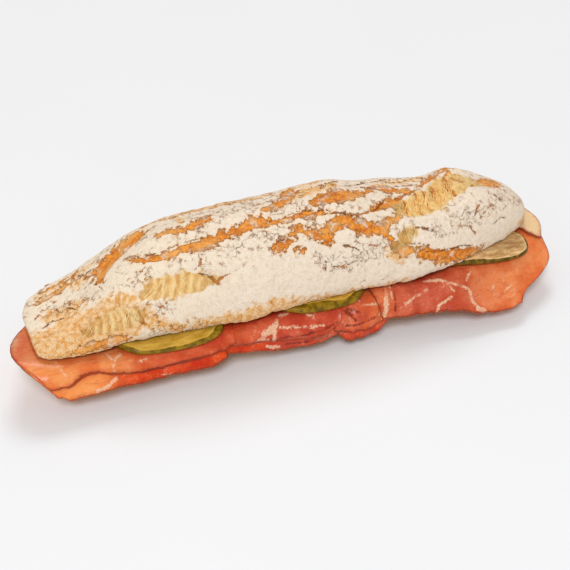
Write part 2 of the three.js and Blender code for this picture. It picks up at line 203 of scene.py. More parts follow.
def band_depth(x, up, lines):
    """How far inside the nearest of some drawn bands a place is, in mm, negative outside."""
    deepest = np.full(np.broadcast(x, up).shape, -np.inf)
    for line in lines:
        for (ax, ay, aw), (bx, by, bw) in zip(line, line[1:]):
            square = (bx - ax) ** 2 + (by - ay) ** 2
            t = np.clip(((x - ax) * (bx - ax) + (up - ay) * (by - ay)) / square, 0, 1)
            away = np.hypot(x - ax - t * (bx - ax), up - ay - t * (by - ay))
            deepest = np.maximum(deepest, aw + t * (bw - aw) - away)
    return deepest


def steady(depth):
    """A mark in mm, kept near its band's edge, so that it changes evenly over a face."""
    return np.clip(depth, -MARK_LIMIT, MARK_LIMIT)


# Meshes.


def piece_from(name, points, faces, marks, material):
    """A closed mesh piece in metres, smooth, facing out, with its marks as point attributes."""
    mesh = bpy.data.meshes.new(name)
    tri = np.array([(f[0], f[i], f[i + 1]) for f in faces for i in range(1, len(f) - 1)])
    a, b, c = (points[tri[:, i]] for i in range(3))
    volume = np.einsum("ij,ij->i", a, np.cross(b, c)).sum()
    if volume < 0:
        faces = [tuple(reversed(f)) for f in faces]
    mesh.from_pydata((points / 1000).tolist(), [], faces)
    mesh.polygons.foreach_set("use_smooth", np.ones(len(mesh.polygons), bool))
    for mark, values in marks.items():
        layer = mesh.attributes.new(mark, "FLOAT", "POINT")
        layer.data.foreach_set("value", np.ascontiguousarray(values, np.float32).ravel())
    mesh.materials.append(material)
    mesh.update()
    piece = bpy.data.objects.new(name, mesh)
    bpy.context.scene.collection.objects.link(piece)
    return piece


def ring_faces(rings, size):
    """Quads between closed rings of points, with a fan to one tip point at each end."""
    faces = []
    last = 1 + rings * size
    for j in range(size):
        k = (j + 1) % size
        faces.append((0, 1 + k, 1 + j))
        faces.append((last, last - size + j, last - size + k))
    for i in range(rings - 1):
        a = 1 + i * size
        b = a + size
        for j in range(size):
            k = (j + 1) % size
            faces.append((a + j, a + k, b + k, b + j))
    return faces


def surface_normals(grid):
    """Unit normals of a grid of points, from its two directions."""
    one = np.gradient(grid, axis=0)
    two = np.gradient(grid, axis=1)
    normal = np.cross(one, two)
    return normal / np.maximum(np.linalg.norm(normal, axis=-1, keepdims=True), 1e-9)


# Materials.


def paint(code):
    """An sRGB hex colour as the linear values that shaders take."""
    parts = [int(code[i : i + 2], 16) / 255 for i in (1, 3, 5)]
    straight = [v / 12.92 if v <= 0.04045 else ((v + 0.055) / 1.055) ** 2.4 for v in parts]
    return (*straight, 1.0)


def add(tree, kind, *values, out=0, **named):
    """Adds a node and returns one of its outputs. The values go to its sockets in order,
    a capitalised name is a socket and any other name is a setting of the node."""
    node = tree.nodes.new(kind if "Node" in kind else "ShaderNode" + kind)
    sockets = {}
    for key, value in named.items():
        if key[0].isupper():
            sockets[key.replace("_", " ")] = value
        else:
            setattr(node, key, value)
    open_inputs = [socket for socket in node.inputs if socket.enabled]
    pairs = list(zip(open_inputs, values))
    pairs += [(node.inputs[key], value) for key, value in sockets.items()]
    for socket, value in pairs:
        if isinstance(value, bpy.types.NodeSocket):
            tree.links.new(value, socket)
        else:
            socket.default_value = value
    open_outputs = [socket for socket in node.outputs if socket.enabled]
    return open_outputs[out] if open_outputs else node


def new_material(name):
    """A material without nodes, and its node tree."""
    material = bpy.data.materials.new(name)
    material.use_nodes = True
    material.node_tree.nodes.clear()
    return material, material.node_tree


RGBA = {"data_type": "RGBA"}
SHADED = {"data_type": "RGBA", "blend_type": "MULTIPLY"}
TIMES = {"operation": "MULTIPLY"}
TIMES_PLUS = {"operation": "MULTIPLY_ADD"}
PLUS = {"operation": "ADD"}
LESS = {"operation": "SUBTRACT"}
MOST = {"operation": "MAXIMUM"}
SMOOTH = {"interpolation_type": "SMOOTHSTEP"}
EVEN = {"interpolation_type": "LINEAR"}


def per_mm(size):
    """Texture scale for a pattern whose bumps are this many millimetres across."""
    return 1000 / size


def tinted(tree, colour, pattern, low, high, share, tone, change=SMOOTH):
    """A colour with a tone over it, which comes in as the pattern goes from low to high, up to
    the given share."""
    amount = add(tree, "MapRange", pattern, low, high, 0.0, share, **change)
    return add(tree, "Mix", amount, colour, paint(tone), **RGBA)


# The crust's patterns: the size of their bumps in mm, how many finer sizes are in them, and how
# strong those are.
CRUST_PATTERNS = {
    "patches": (16, 3.0, 0.5),
    "big": (6, 2.0, 0.5),
    "medium": (2.4, 3.0, 0.5),
    "fine": (0.9, 3.0, 0.6),
    "grit": (0.5, 2.0, 0.7),
}
# The crust's marks, each with its value on the bread's cut face and at its tips.
CRUST_MARKS = {
    "bare": -MARK_LIMIT,
    "golden": -MARK_LIMIT,
    "crumb": MARK_LIMIT,
    "cracked": -MARK_LIMIT,
    "crack_line": -MARK_LIMIT,
    "strand": -MARK_LIMIT,
    "rib": -MARK_LIMIT,
    "ochre": 0.1,
    "shade": 0.0,
}
# How far each pattern moves the bands' ragged edges, in mm from one extreme to the other.
CRUST_JITTER = {"big": 8.0, "medium": 6.4, "fine": 2.4}
# The share of that for each kind of band.
BAND_JITTER = {
    "bare": 1.0,
    "golden": 1.3,
    "crumb": 0.9,
    "cracked": 1.2,
    "strand": 0.35,
    "rib": 0.5,
}


def flour_coat(t, patterns, place, cracked):
    """Cream flour, warmer towards the left end, chalky in places, with brown pits."""
    across = add(t, "SeparateXYZ", place, out=0)
    warmer = add(t, "MapRange", across, -0.03, -0.1, **SMOOTH)
    warmer = add(t, "Math", patterns["patches"], 0.9, warmer, **TIMES_PLUS)
    warmer = add(t, "MapRange", warmer, 0.35, 1.35)
    flour = add(t, "Mix", warmer, paint("#F4E5D1"), paint("#F5E6CE"), **RGBA)
    flour = tinted(t, flour, patterns["medium"], 0.42, 0.66, 0.35, "#DCC6A6")
    flour = tinted(t, flour, patterns["fine"], 0.5, 0.7, 0.6, "#F9F0E2")
    pitted = add(t, "Math", cracked, 0.4, 0.3, **TIMES_PLUS)
    return tinted(t, flour, patterns["grit"], 0.58, 0.68, pitted, "#8F6836")


def thin_flour(t, patterns):
    """Golden crust that shines through a thin coat of flour."""
    gold = tinted(t, paint("#F7D29E"), patterns["medium"], 0.38, 0.64, 1.0, "#EDAE5E")
    gold = tinted(t, gold, patterns["fine"], 0.5, 0.66, 0.55, "#F4DDB8")
    return tinted(t, gold, patterns["grit"], 0.54, 0.66, 0.7, "#A8682A")


def bare_crust(t, patterns, place, flour, bare_mm):
    """Crust baked orange-brown, streaked, with a little flour on it, and darker just inside its
    edge, a painted shadow of the raised flour plates.
    """
    longer = add(t, "Mapping", Vector=place, Scale=(0.4, 1.0, 1.0))
    streaks = add(t, "TexNoise", Vector=longer, Scale=per_mm(3), Detail=3.0, Roughness=0.6)
    crust = tinted(t, paint("#CE6C0A"), patterns["medium"], 0.34, 0.66, 1.0, "#F79C26")
    crust = tinted(t, crust, patterns["fine"], 0.5, 0.72, 0.5, "#F8C068")
    crust = tinted(t, crust, streaks, 0.54, 0.7, 0.75, "#A4581A")
    clumps = add(t, "MapRange", patterns["big"], 0.55, 0.64, 0.0, 0.8, **SMOOTH)
    specks = add(t, "MapRange", patterns["grit"], 0.57, 0.68, 0.0, 0.4)
    dust = add(t, "Math", clumps, specks, use_clamp=True, **PLUS)
    crust = add(t, "Mix", dust, crust, flour, **RGBA)
    crust = tinted(t, crust, patterns["patches"], 0.46, 0.6, 0.6, "#F0B86C", EVEN)
    # Painted shadow of the flour plates' raised edges, just inside the bare crust's edge.
    return tinted(t, crust, bare_mm, 1.3, 0.2, 0.6, "#99500F", EVEN)


def flour_seams(t, patterns, place, golden, cracked):
    """The seams between the plates of flour, which are 5.5 mm and 2.6 mm across."""
    push = add(t, "TexNoise", Vector=place, Scale=per_mm(4), Detail=3.0, out=1)
    push = add(t, "VectorMath", push, (0.5, 0.5, 0.5), **LESS)
    push = add(t, "VectorMath", push, Scale=0.006, operation="SCALE")
    warped = add(t, "VectorMath", place, push, **PLUS)
    uneven = add(t, "Math", patterns["fine"], -0.1, 0.05, **TIMES_PLUS)
    there = add(t, "MapRange", patterns["big"], 0.52, 0.64, **SMOOTH)
    seam = 0.0
    for size, outside, inside, share in ((5.5, 0.05, 0.005, 1.0), (2.6, 0.09, 0.02, there)):
        edges = add(t, "TexVoronoi", Vector=warped, Scale=per_mm(size),
                    feature="DISTANCE_TO_EDGE")
        edges = add(t, "Math", edges, uneven, **PLUS)
        own = add(t, "MapRange", edges, outside, inside, 0.0, share, **SMOOTH)
        seam = add(t, "Math", own, seam, **MOST)
    seam_share = add(t, "Math", golden, 0.3, cracked, **TIMES_PLUS)
    faint = add(t, "MapRange", patterns["medium"], 0.4, 0.58, 0.2, 1.0)
    seam_share = add(t, "Math", seam_share, faint, **TIMES)
    return add(t, "Math", seam, seam_share, use_clamp=True, **TIMES)


def torn_crumb(t, patterns, strands, ochre, inside):
    """Pulled strands, pale yellow, with painted shade in the hollows between them, and golden
    in the big tear.
    """
    torn = tinted(t, paint("#E6A44A"), strands, 0.36, 0.62, 1.0, "#FEE0A0")
    torn = tinted(t, torn, patterns["medium"], 0.55, 0.68, 0.6, "#B98242")
    torn = tinted(t, torn, patterns["big"], 0.48, 0.62, 0.4, "#DCB06C")
    golden_crumb = tinted(t, paint("#FFE09C"), patterns["medium"], 0.42, 0.66, 0.35, "#FCC670")
    golden_share = add(t, "Math", ochre, 0.8, **TIMES)
    torn = add(t, "Mix", golden_share, torn, golden_crumb, **RGBA)
    # Painted shade in the hollows between the strands, less in the golden tear.
    hollow_share = add(t, "Math", ochre, -0.65, 0.65, **TIMES_PLUS)
    torn = tinted(t, torn, inside["strand"], -0.1, -1.3, hollow_share, "#B07C36", EVEN)
    torn = tinted(t, torn, inside["strand"], -0.5, 0.6, 0.75, "#FCE0A8", EVEN)
    return tinted(t, torn, inside["rib"], -0.5, 0.7, 0.85, "#C4741E")


def floured_crust():
    """Wheat crust baked under a flour coat: chalky cream plates with ragged, cracked edges, and
    warmer, smoother orange-brown crust where the dough split. The torn crumb is pale yellow."""
    material, t = new_material("floured_wheat_crust")
    place = add(t, "TexCoord", out=3)
    patterns = {}
    for name, (size, detail, finer_share) in CRUST_PATTERNS.items():
        patterns[name] = add(t, "TexNoise", Vector=place, Scale=per_mm(size), Detail=detail,
                             Roughness=finer_share)
    pulled = add(t, "Mapping", Vector=place, Scale=(1.0, 0.3, 0.3))
    strands = add(t, "TexNoise", Vector=pulled, Scale=per_mm(1.6), Detail=3.0, Roughness=0.55)
    marks = {name: add(t, "Attribute", attribute_name=name, out=2) for name in CRUST_MARKS}

    # The jitter moves the bands' edges in and out. It is centred on 0, as a pattern's mean is 0.5.
    jitter = -sum(CRUST_JITTER.values()) / 2
    for name, strength in CRUST_JITTER.items():
        jitter = add(t, "Math", patterns[name], strength, jitter, **TIMES_PLUS)
    inside = {}
    for name, strength in BAND_JITTER.items():
        inside[name] = add(t, "Math", jitter, strength, marks[name], **TIMES_PLUS)
    bare_mm = add(t, "Math", inside["bare"], 0.5, **PLUS)
    bare = add(t, "MapRange", bare_mm, -0.15, 0.35, **SMOOTH)
    golden = add(t, "MapRange", inside["golden"], -2.6, 2.6, **SMOOTH)
    crumb = add(t, "MapRange", inside["crumb"], -0.8, 1.2, **SMOOTH)
    cracked = add(t, "MapRange", inside["cracked"], -2.0, 2.0, **SMOOTH)

    flour = flour_coat(t, patterns, place, cracked)
    colour = add(t, "Mix", golden, flour, thin_flour(t, patterns), **RGBA)
    crust = bare_crust(t, patterns, place, flour, bare_mm)
    # Painted bounce light: a warm band on the flour beside the bare crust.
    colour = tinted(t, colour, bare_mm, -1.3, -0.1, 0.6, "#EDB470", EVEN)
    colour = add(t, "Mix", bare, colour, crust, **RGBA)

    # Cracks: the plates' seams, the drawn cracks, and the rim of the bare patches.
    seam = flour_seams(t, patterns, place, golden, cracked)
    line_mm = marks["crack_line"]
    for name, strength in (("medium", 2.4), ("fine", 2.2)):
        line_mm = add(t, "Math", patterns[name], strength, line_mm, **TIMES_PLUS)
    drawn = add(t, "MapRange", line_mm, 2.5, 2.95, **SMOOTH)
    edge = add(t, "Math", bare_mm, operation="ABSOLUTE")
    here = add(t, "MapRange", patterns["medium"], 0.46, 0.62, **SMOOTH)
    rim = add(t, "MapRange", edge, 0.4, 0.1, 0.0, here, **SMOOTH)
    lines = add(t, "Math", seam, drawn, **MOST)
    lines = add(t, "Math", lines, rim, **MOST)
    ink = tinted(t, paint("#87480F"), patterns["patches"], 0.42, 0.58, 1.0, "#CC741E")
    inked = add(t, "Math", lines, 0.64, **TIMES)
    colour = add(t, "Mix", inked, colour, ink, **RGBA)

    torn = torn_crumb(t, patterns, strands, marks["ochre"], inside)
    colour = add(t, "Mix", crumb, colour, torn, **RGBA)
    scorched = add(t, "Math", drawn, 0.75, **TIMES)
    colour = add(t, "Mix", scorched, colour, ink, **RGBA)
    # Painted shade, darker near the front lip.
    colour = add(t, "Mix", marks["shade"], colour, paint("#6A4A2A"), **SHADED)

    height = add(t, "Math", lines, -0.6, 0.6, **TIMES_PLUS)
    for name, strength in (("medium", 0.5), ("fine", 0.4), ("grit", 0.16)):
        height = add(t, "Math", patterns[name], strength, height, **TIMES_PLUS)
    height = add(t, "Math", bare, -0.5, height, **TIMES_PLUS)
    pull = add(t, "Math", strands, 0.5, **LESS)
    pull = add(t, "Math", pull, crumb, **TIMES)
    height = add(t, "Math", pull, 1.6, height, **TIMES_PLUS)
    normal = add(t, "Bump", Strength=0.9, Distance=0.0012, Height=height)
    roughness = add(t, "Math", bare, -0.38, 0.95, **TIMES_PLUS)
    surface = add(t, "BsdfPrincipled", Base_Color=colour, Roughness=roughness, Normal=normal,
                  Specular_IOR_Level=0.22)
    add(t, "OutputMaterial", Surface=surface)
    return material


def wheat_flour():
    """Dry wheat flour: dull, nearly white clumps."""
    material, t = new_material("wheat_flour")
    place = add(t, "TexCoord", out=3)
    tone = add(t, "TexNoise", Vector=place, Scale=per_mm(5))
    colour = tinted(t, paint("#F6ECDD"), tone, 0.4, 0.6, 1.0, "#EBDABD")
    surface = add(t, "BsdfPrincipled", Base_Color=colour, Roughness=1.0,
                  Specular_IOR_Level=0.2)
    add(t, "OutputMaterial", Surface=surface)
    return material


def pulled_crumb():
    """Soft crumb pulled into threads: pale yellow, dull, golden towards the loaf's right."""
    material, t = new_material("pulled_bread_crumb")
    place = add(t, "TexCoord", out=3)
    tone = add(t, "TexNoise", Vector=place, Scale=per_mm(2.5), Detail=3.0)
    pale = tinted(t, paint("#E8C07A"), tone, 0.36, 0.64, 1.0, "#FDE4A8")
    golden = tinted(t, paint("#EBAE58"), tone, 0.36, 0.64, 1.0, "#FAD68E")
    across = add(t, "SeparateXYZ", place, out=0)
    right = add(t, "MapRange", across, 0.0, 0.03)
    colour = add(t, "Mix", right, pale, golden, **RGBA)
    grit = add(t, "TexNoise", Vector=place, Scale=per_mm(0.5), Detail=2.0)
    normal = add(t, "Bump", Strength=0.7, Distance=0.0004, Height=grit)
    surface = add(t, "BsdfPrincipled", Base_Color=colour, Roughness=0.8, Normal=normal,
                  Specular_IOR_Level=0.3)
    add(t, "OutputMaterial", Surface=surface)
    return material


HAM_MARKS = ("salmon", "scarlet", "fat", "pale", "rim", "rind", "groove", "shade")


def cured_ham():
    """Raw cured ham, sliced thin: rose to salmon muscle with a moist gloss, cream fat in veins,
    and a dark dried rind at the edge."""
    material, t = new_material("raw_cured_ham")
    place = add(t, "TexCoord", out=3)
    coarse = add(t, "TexNoise", Vector=place, Scale=per_mm(11), Detail=3.0)
    medium = add(t, "TexNoise", Vector=place, Scale=per_mm(3), Detail=3.0)
    fine = add(t, "TexNoise", Vector=place, Scale=per_mm(0.9), Detail=3.0)
    longer = add(t, "Mapping", Vector=place, Scale=(0.3, 1.0, 1.0))
    grain = add(t, "TexNoise", Vector=longer, Scale=per_mm(2), Detail=3.0, Roughness=0.6)
    marks = {name: add(t, "Attribute", attribute_name=name, out=2) for name in HAM_MARKS}

    # Muscle: rose, salmon or scarlet, with darker fibres, pale specks and fine swirls of fat.
    colour = tinted(t, paint("#B23A2C"), coarse, 0.36, 0.64, 1.0, "#CE5A48")
    salmon = tinted(t, paint("#F27E3C"), coarse, 0.36, 0.64, 1.0, "#FFA058")
    scarlet = tinted(t, paint("#CC2E04"), coarse, 0.36, 0.64, 1.0, "#E84E10")
    colour = add(t, "Mix", marks["salmon"], colour, salmon, **RGBA)
    colour = add(t, "Mix", marks["scarlet"], colour, scarlet, **RGBA)
    colour = tinted(t, colour, grain, 0.46, 0.8, 0.35, "#9C2A10")
    colour = tinted(t, colour, fine, 0.6, 0.76, 0.3, "#F6B690")
    swirl = add(t, "TexNoise", Vector=place, Scale=per_mm(7), Detail=4.0, Distortion=1.2)
    swirl = add(t, "Math", swirl, 0.5, **LESS)
    swirl = add(t, "Math", swirl, operation="ABSOLUTE")
    some = add(t, "MapRange", coarse, 0.5, 0.58, 0.0, 0.45, **SMOOTH)
    colour = tinted(t, colour, swirl, 0.012, 0.002, some, "#F6C8A4")

    # The drawn marks, with edges that the jitter moves in and out, as on the crust.
    jitter_parts = ((medium, 3.4), (fine, 2.4))
    jitter = -sum(strength for _, strength in jitter_parts) / 2
    for pattern, strength in jitter_parts:
        jitter = add(t, "Math", pattern, strength, jitter, **TIMES_PLUS)
    inside = {}
    for name, strength in (("fat", 0.7), ("pale", 1.6), ("rim", 0.5), ("groove", 1.0)):
        inside[name] = add(t, "Math", jitter, strength, marks[name], **TIMES_PLUS)
    colour = tinted(t, colour, inside["pale"], -2.5, 2.5, 1.0, "#F2CB9C")
    fat = add(t, "MapRange", inside["fat"], -0.35, 0.55, **SMOOTH)
    lacy = add(t, "MapRange", fine, 0.36, 0.58, 0.5, 0.95)
    lacy_fat = add(t, "Math", fat, lacy, **TIMES)
    colour = add(t, "Mix", lacy_fat, colour, paint("#F8CBA8"), **RGBA)
    colour = tinted(t, colour, inside["rim"], 0.95, 0.25, marks["rind"], "#6E2410")
    dried = add(t, "Math", marks["rind"], 0.5, **TIMES)
    colour = tinted(t, colour, inside["rim"], 3.0, 0.4, dried, "#A83E12")
    # Painted shade: dark lines in the creases and under the edges of the slices above.
    colour = tinted(t, colour, inside["groove"], -0.4, 0.6, 0.8, "#741E0E")
    # Painted shade on the ham under the bread's lip.
    colour = add(t, "Mix", marks["shade"], colour, paint("#A05A58"), **SHADED)

    height = add(t, "Math", fine, 0.3, **TIMES)
    height = add(t, "Math", grain, 0.7, height, **TIMES_PLUS)
    height = add(t, "Math", fat, 0.25, height, **TIMES_PLUS)
    normal = add(t, "Bump", Strength=0.6, Distance=0.0008, Height=height)
    roughness = add(t, "Math", medium, 0.3, 0.12, **TIMES_PLUS)
    surface = add(t, "BsdfPrincipled", Base_Color=colour, Roughness=roughness, Normal=normal,
                  Subsurface_Weight=0.3, Subsurface_Radius=(0.005, 0.0015, 0.0008),
                  Subsurface_Scale=1.0, Specular_IOR_Level=0.15, Coat_Weight=0.25,
                  Coat_Roughness=0.16)
    add(t, "OutputMaterial", Surface=surface)
    return material


GHERKIN_MARKS = ("inset", "bright", "shade")


def pickled_gherkin(name, skin_dark, skin_light, flesh_dark, flesh_light):
    """Pickled gherkin, cut lengthwise: wet, slightly see-through flesh inside a dark skin rim."""
    material, t = new_material(name)
    place = add(t, "TexCoord", out=3)
    medium = add(t, "TexNoise", Vector=place, Scale=per_mm(3.5), Detail=3.0)
    fine = add(t, "TexNoise", Vector=place, Scale=per_mm(1.1), Detail=3.0)
    lengthwise = add(t, "Mapping", Vector=place, Scale=(0.3, 1.0, 1.0))
    veins = add(t, "TexNoise", Vector=lengthwise, Scale=per_mm(2.2), Detail=3.0, Roughness=0.6)
    marks = {key: add(t, "Attribute", attribute_name=key, out=2) for key in GHERKIN_MARKS}
    inset = add(t, "Math", medium, 1.4, marks["inset"], **TIMES_PLUS)
    inset = add(t, "Math", inset, 0.7, **LESS)
    skin = tinted(t, paint(skin_dark), medium, 0.36, 0.64, 1.0, skin_light)
    flesh = tinted(t, paint(flesh_dark), veins, 0.3, 0.72, 1.0, flesh_light)
    flesh = add(t, "Mix", marks["bright"], flesh, paint("#C4B83A"), **RGBA)
    in_flesh = add(t, "MapRange", inset, -0.2, 0.3, **SMOOTH)
    colour = add(t, "Mix", in_flesh, skin, flesh, **RGBA)
    ring = add(t, "Math", in_flesh, 0.6, **TIMES)
    colour = tinted(t, colour, inset, 1.3, 0.3, ring, flesh_light)
    # Painted shade under the bread's lip.
    colour = add(t, "Mix", marks["shade"], colour, paint("#5E480E"), **SHADED)
    height = add(t, "Math", fine, 0.3, **TIMES)
    height = add(t, "Math", veins, 0.7, height, **TIMES_PLUS)
    normal = add(t, "Bump", Strength=0.6, Distance=0.0009, Height=height)
    roughness = add(t, "Math", fine, 0.3, 0.15, **TIMES_PLUS)
    surface = add(t, "BsdfPrincipled", Base_Color=colour, Roughness=roughness, Normal=normal,
                  Subsurface_Weight=0.15, Subsurface_Radius=(0.002, 0.002, 0.0008),
                  Subsurface_Scale=1.0, Specular_IOR_Level=0.25)
    add(t, "OutputMaterial", Surface=surface)
    return material


def matt_laminate():
    """Matt white laminate of a table top, plain and pale."""
    material, t = new_material("matt_white_laminate")
    place = add(t, "TexCoord", out=3)
    mottle = add(t, "TexNoise", Vector=place, Scale=6.0)
    colour = add(t, "Mix", mottle, paint("#EEF2F6"), paint("#F1F5F8"), **RGBA)
    normal = add(t, "Bump", Strength=0.02, Distance=0.0005, Height=mottle)
    surface = add(t, "BsdfPrincipled", Base_Color=colour, Roughness=0.9, Normal=normal,
                  Specular_IOR_Level=0.2)
    add(t, "OutputMaterial", Surface=surface)
    return material


# The upper half of the bread.

# Where the flour is gone and baked crust shows, as bands of (X, up, half width).
BARE_BANDS = [
    [(-103, 41, 1.2), (-102, 46, 2.6), (-100, 51, 4), (-93, 58, 5), (-85, 65, 5), (-77, 71, 3.5)],
    [(-87, 46, 1), (-82, 44, 1.6), (-74, 43, 1.8), (-65, 45, 2.2), (-58, 45.5, 2.6),
     (-52, 47, 2.5)],
    [(-52, 47, 2.5), (-43, 50, 2.6), (-36, 52, 2), (-29, 53, 3.2), (-23, 54, 3.6), (-18, 53, 4)],
    [(-17, 50.4, 1.8), (-8, 49.7, 1.3), (4, 50.6, 1.6), (12, 49, 1.6), (18, 47.5, 1.2)],
    [(-70, 59, 2), (-63, 58, 2.4), (-56, 58.5, 1.8), (-51, 61, 2.4), (-44, 64, 3)],
    [(-14, 60, 1.4), (-8, 61, 2.5), (-3, 63.5, 3.6), (1, 67, 3.6), (6, 76, 4)],
    [(11, 56, 1.4), (17, 58, 3.6), (24, 58, 4.6), (31, 57, 4), (38, 57, 2.6), (46, 60, 2)],
    [(-6, 41, 1.5), (-1, 42.3, 2.4), (4, 39.5, 2), (8, 37, 2.4), (13, 34.5, 2.6), (11, 32, 1.4)],
    [(-16, 36, 2), (-11, 36.8, 2.6), (-6.5, 37, 1.8)],
    [(-7, 33, 1.1), (-2, 31.5, 1)],
    [(10, 38, 1.4), (15, 39, 3), (20, 42, 3.6), (25, 42.3, 3.2), (29, 40.5, 1.6)],
    [(26, 38.5, 1.4), (32, 36, 3.2), (38, 34, 3.6), (44, 33, 3.6), (48, 36, 2), (56, 38.5, 1.6)],
    [(42, 45, 1.2), (48, 46.4, 2.2), (54, 47.2, 2.6), (61, 48.5, 2)],
    [(46, 27.5, 1.3), (49, 24, 2), (52, 19, 2.2)],
    [(52, 20, 2.4), (60, 17, 2.6), (67, 13.4, 3), (74, 9.5, 3.8), (84, 6, 4), (94, 4.4, 3.4)],
    [(94, 4.4, 3.4), (99, 2.5, 2.4), (102, 0, 1.6)],
    [(101, 60, 3), (105, 54, 4), (108, 48, 3), (116, 44, 5), (126, 39, 4.5), (131, 35, 2)],
    [(78, 56, 0.8), (86, 60, 1.8), (95, 65, 2.6), (104, 68, 3.2), (112, 66.5, 3)],
    [(112, 66.5, 3), (119, 63, 2.4), (126, 58, 2.2), (133, 52, 1.6), (140, 43, 1)],
    [(122, 37, 0.6), (130, 31, 0.8)],
    [(-124, 3, 1.4), (-118, 3, 2.2), (-110, 4, 1.8), (-103, 3.5, 2), (-97, 3, 1)],
    [(-97, 17, 0.3), (-93, 14, 0.8), (-89, 10.5, 0.5)],
    [(52, 63, 2), (58, 59, 2.6), (64, 56.5, 2), (70, 52.5, 1.4)],
    [(-134, 44, 0.4), (-126, 49, 1), (-118, 54, 1.1), (-110, 57, 0.7)],
    [(-128, 56, 0.6), (-116, 61, 1.2), (-106, 65, 0.9)],
]
# Where the flour coat is thin, so golden crust shines through.
GOLDEN_BANDS = [
    [(-140, 6, 8), (-132, 10, 13), (-122, 12, 15), (-112, 12, 14), (-100, 12, 11), (-90, 14, 7)],
    [(-90, 14, 7), (-84, 10, 4), (-70, 3, 3), (-58, 3, 4)],
    [(-128, 30, 6), (-118, 32, 5)],
    [(-116, 20.5, 2.4), (-104, 22.5, 4.4), (-92, 22.5, 4)],
    [(-132, 50, 1.5), (-124, 56, 2.4), (-114, 60, 2.4), (-104, 62, 2)],
    [(-114, 50, 2.6), (-108, 53, 2.6)],
    [(-60, 3, 3), (-44, 3, 5), (-30, 4, 6.5), (-16, 3, 5), (0, 1, 3), (20, 0, 2), (60, 0, 1)],
    [(3, 68, 5), (14, 70, 8), (26, 70, 5)],
    [(44, 20, 2), (50, 17, 3)],
    [(56, 66, 2), (70, 67, 3), (84, 66, 3)],
    [(-58, 66, 1.6), (-55, 74, 2)],
    [(126, 1, 1.5), (140, 1, 2)],
]
# Torn places, where the crumb shows.
CRUMB_BANDS = [
    [(-119, 14, 3), (-109, 14.5, 5.4), (-99, 14, 6.2), (-91, 15.5, 4.4)],
    [(-88, 24.5, 2.4), (-82, 26, 5), (-75, 27, 6), (-66, 27.5, 6.4), (-59, 27.5, 4.6)],
    [(-59, 27.5, 4.6), (-54, 27, 2.6), (-48, 27, 2)],
    [(59, 43, 4.4), (67, 42.5, 7), (76, 43, 9), (84, 44.5, 9), (93, 49, 10.6), (101, 51, 11)],
    [(101, 51, 11), (110, 47, 7), (118, 42, 3.5)],
    [(50, 23, 2.6), (54, 26, 4.4), (58, 27.5, 4.2), (63, 29, 2)],
]
# The same places as relief, a little wider, each with its depth.
TEARS = [
    (3.6, [(-118, 14, 4), (-108, 14.5, 6), (-98, 14, 7), (-90, 15, 5)]),
    (1.5, [(-128, 5, 3), (-115, 5, 4), (-98, 4, 4)]),
    (2.8, [(-88, 26, 4), (-80, 26.5, 6), (-70, 27.5, 7), (-60, 27.5, 6), (-45, 27.5, 3)]),
    (2.6, [(58, 42, 4), (68, 42, 7.5), (80, 42, 9), (92, 47, 11), (104, 50, 12), (118, 46, 9)]),
    (1.6, [(118, 46, 9), (126, 36, 4)]),
    (1.2, [(50, 20, 3), (64, 15, 4), (74, 9, 5), (84, 4, 5), (98, 1, 3)]),
    (1.1, [(-102, 46, 4), (-94, 57, 5), (-82, 67, 5)]),
    (1.1, [(-80, 44, 5), (-60, 46, 5), (-42, 50, 5), (-20, 54, 5)]),
    (1.0, [(0, 42, 4), (14, 36, 5), (24, 41, 5), (38, 35, 5), (48, 37, 4)]),
]
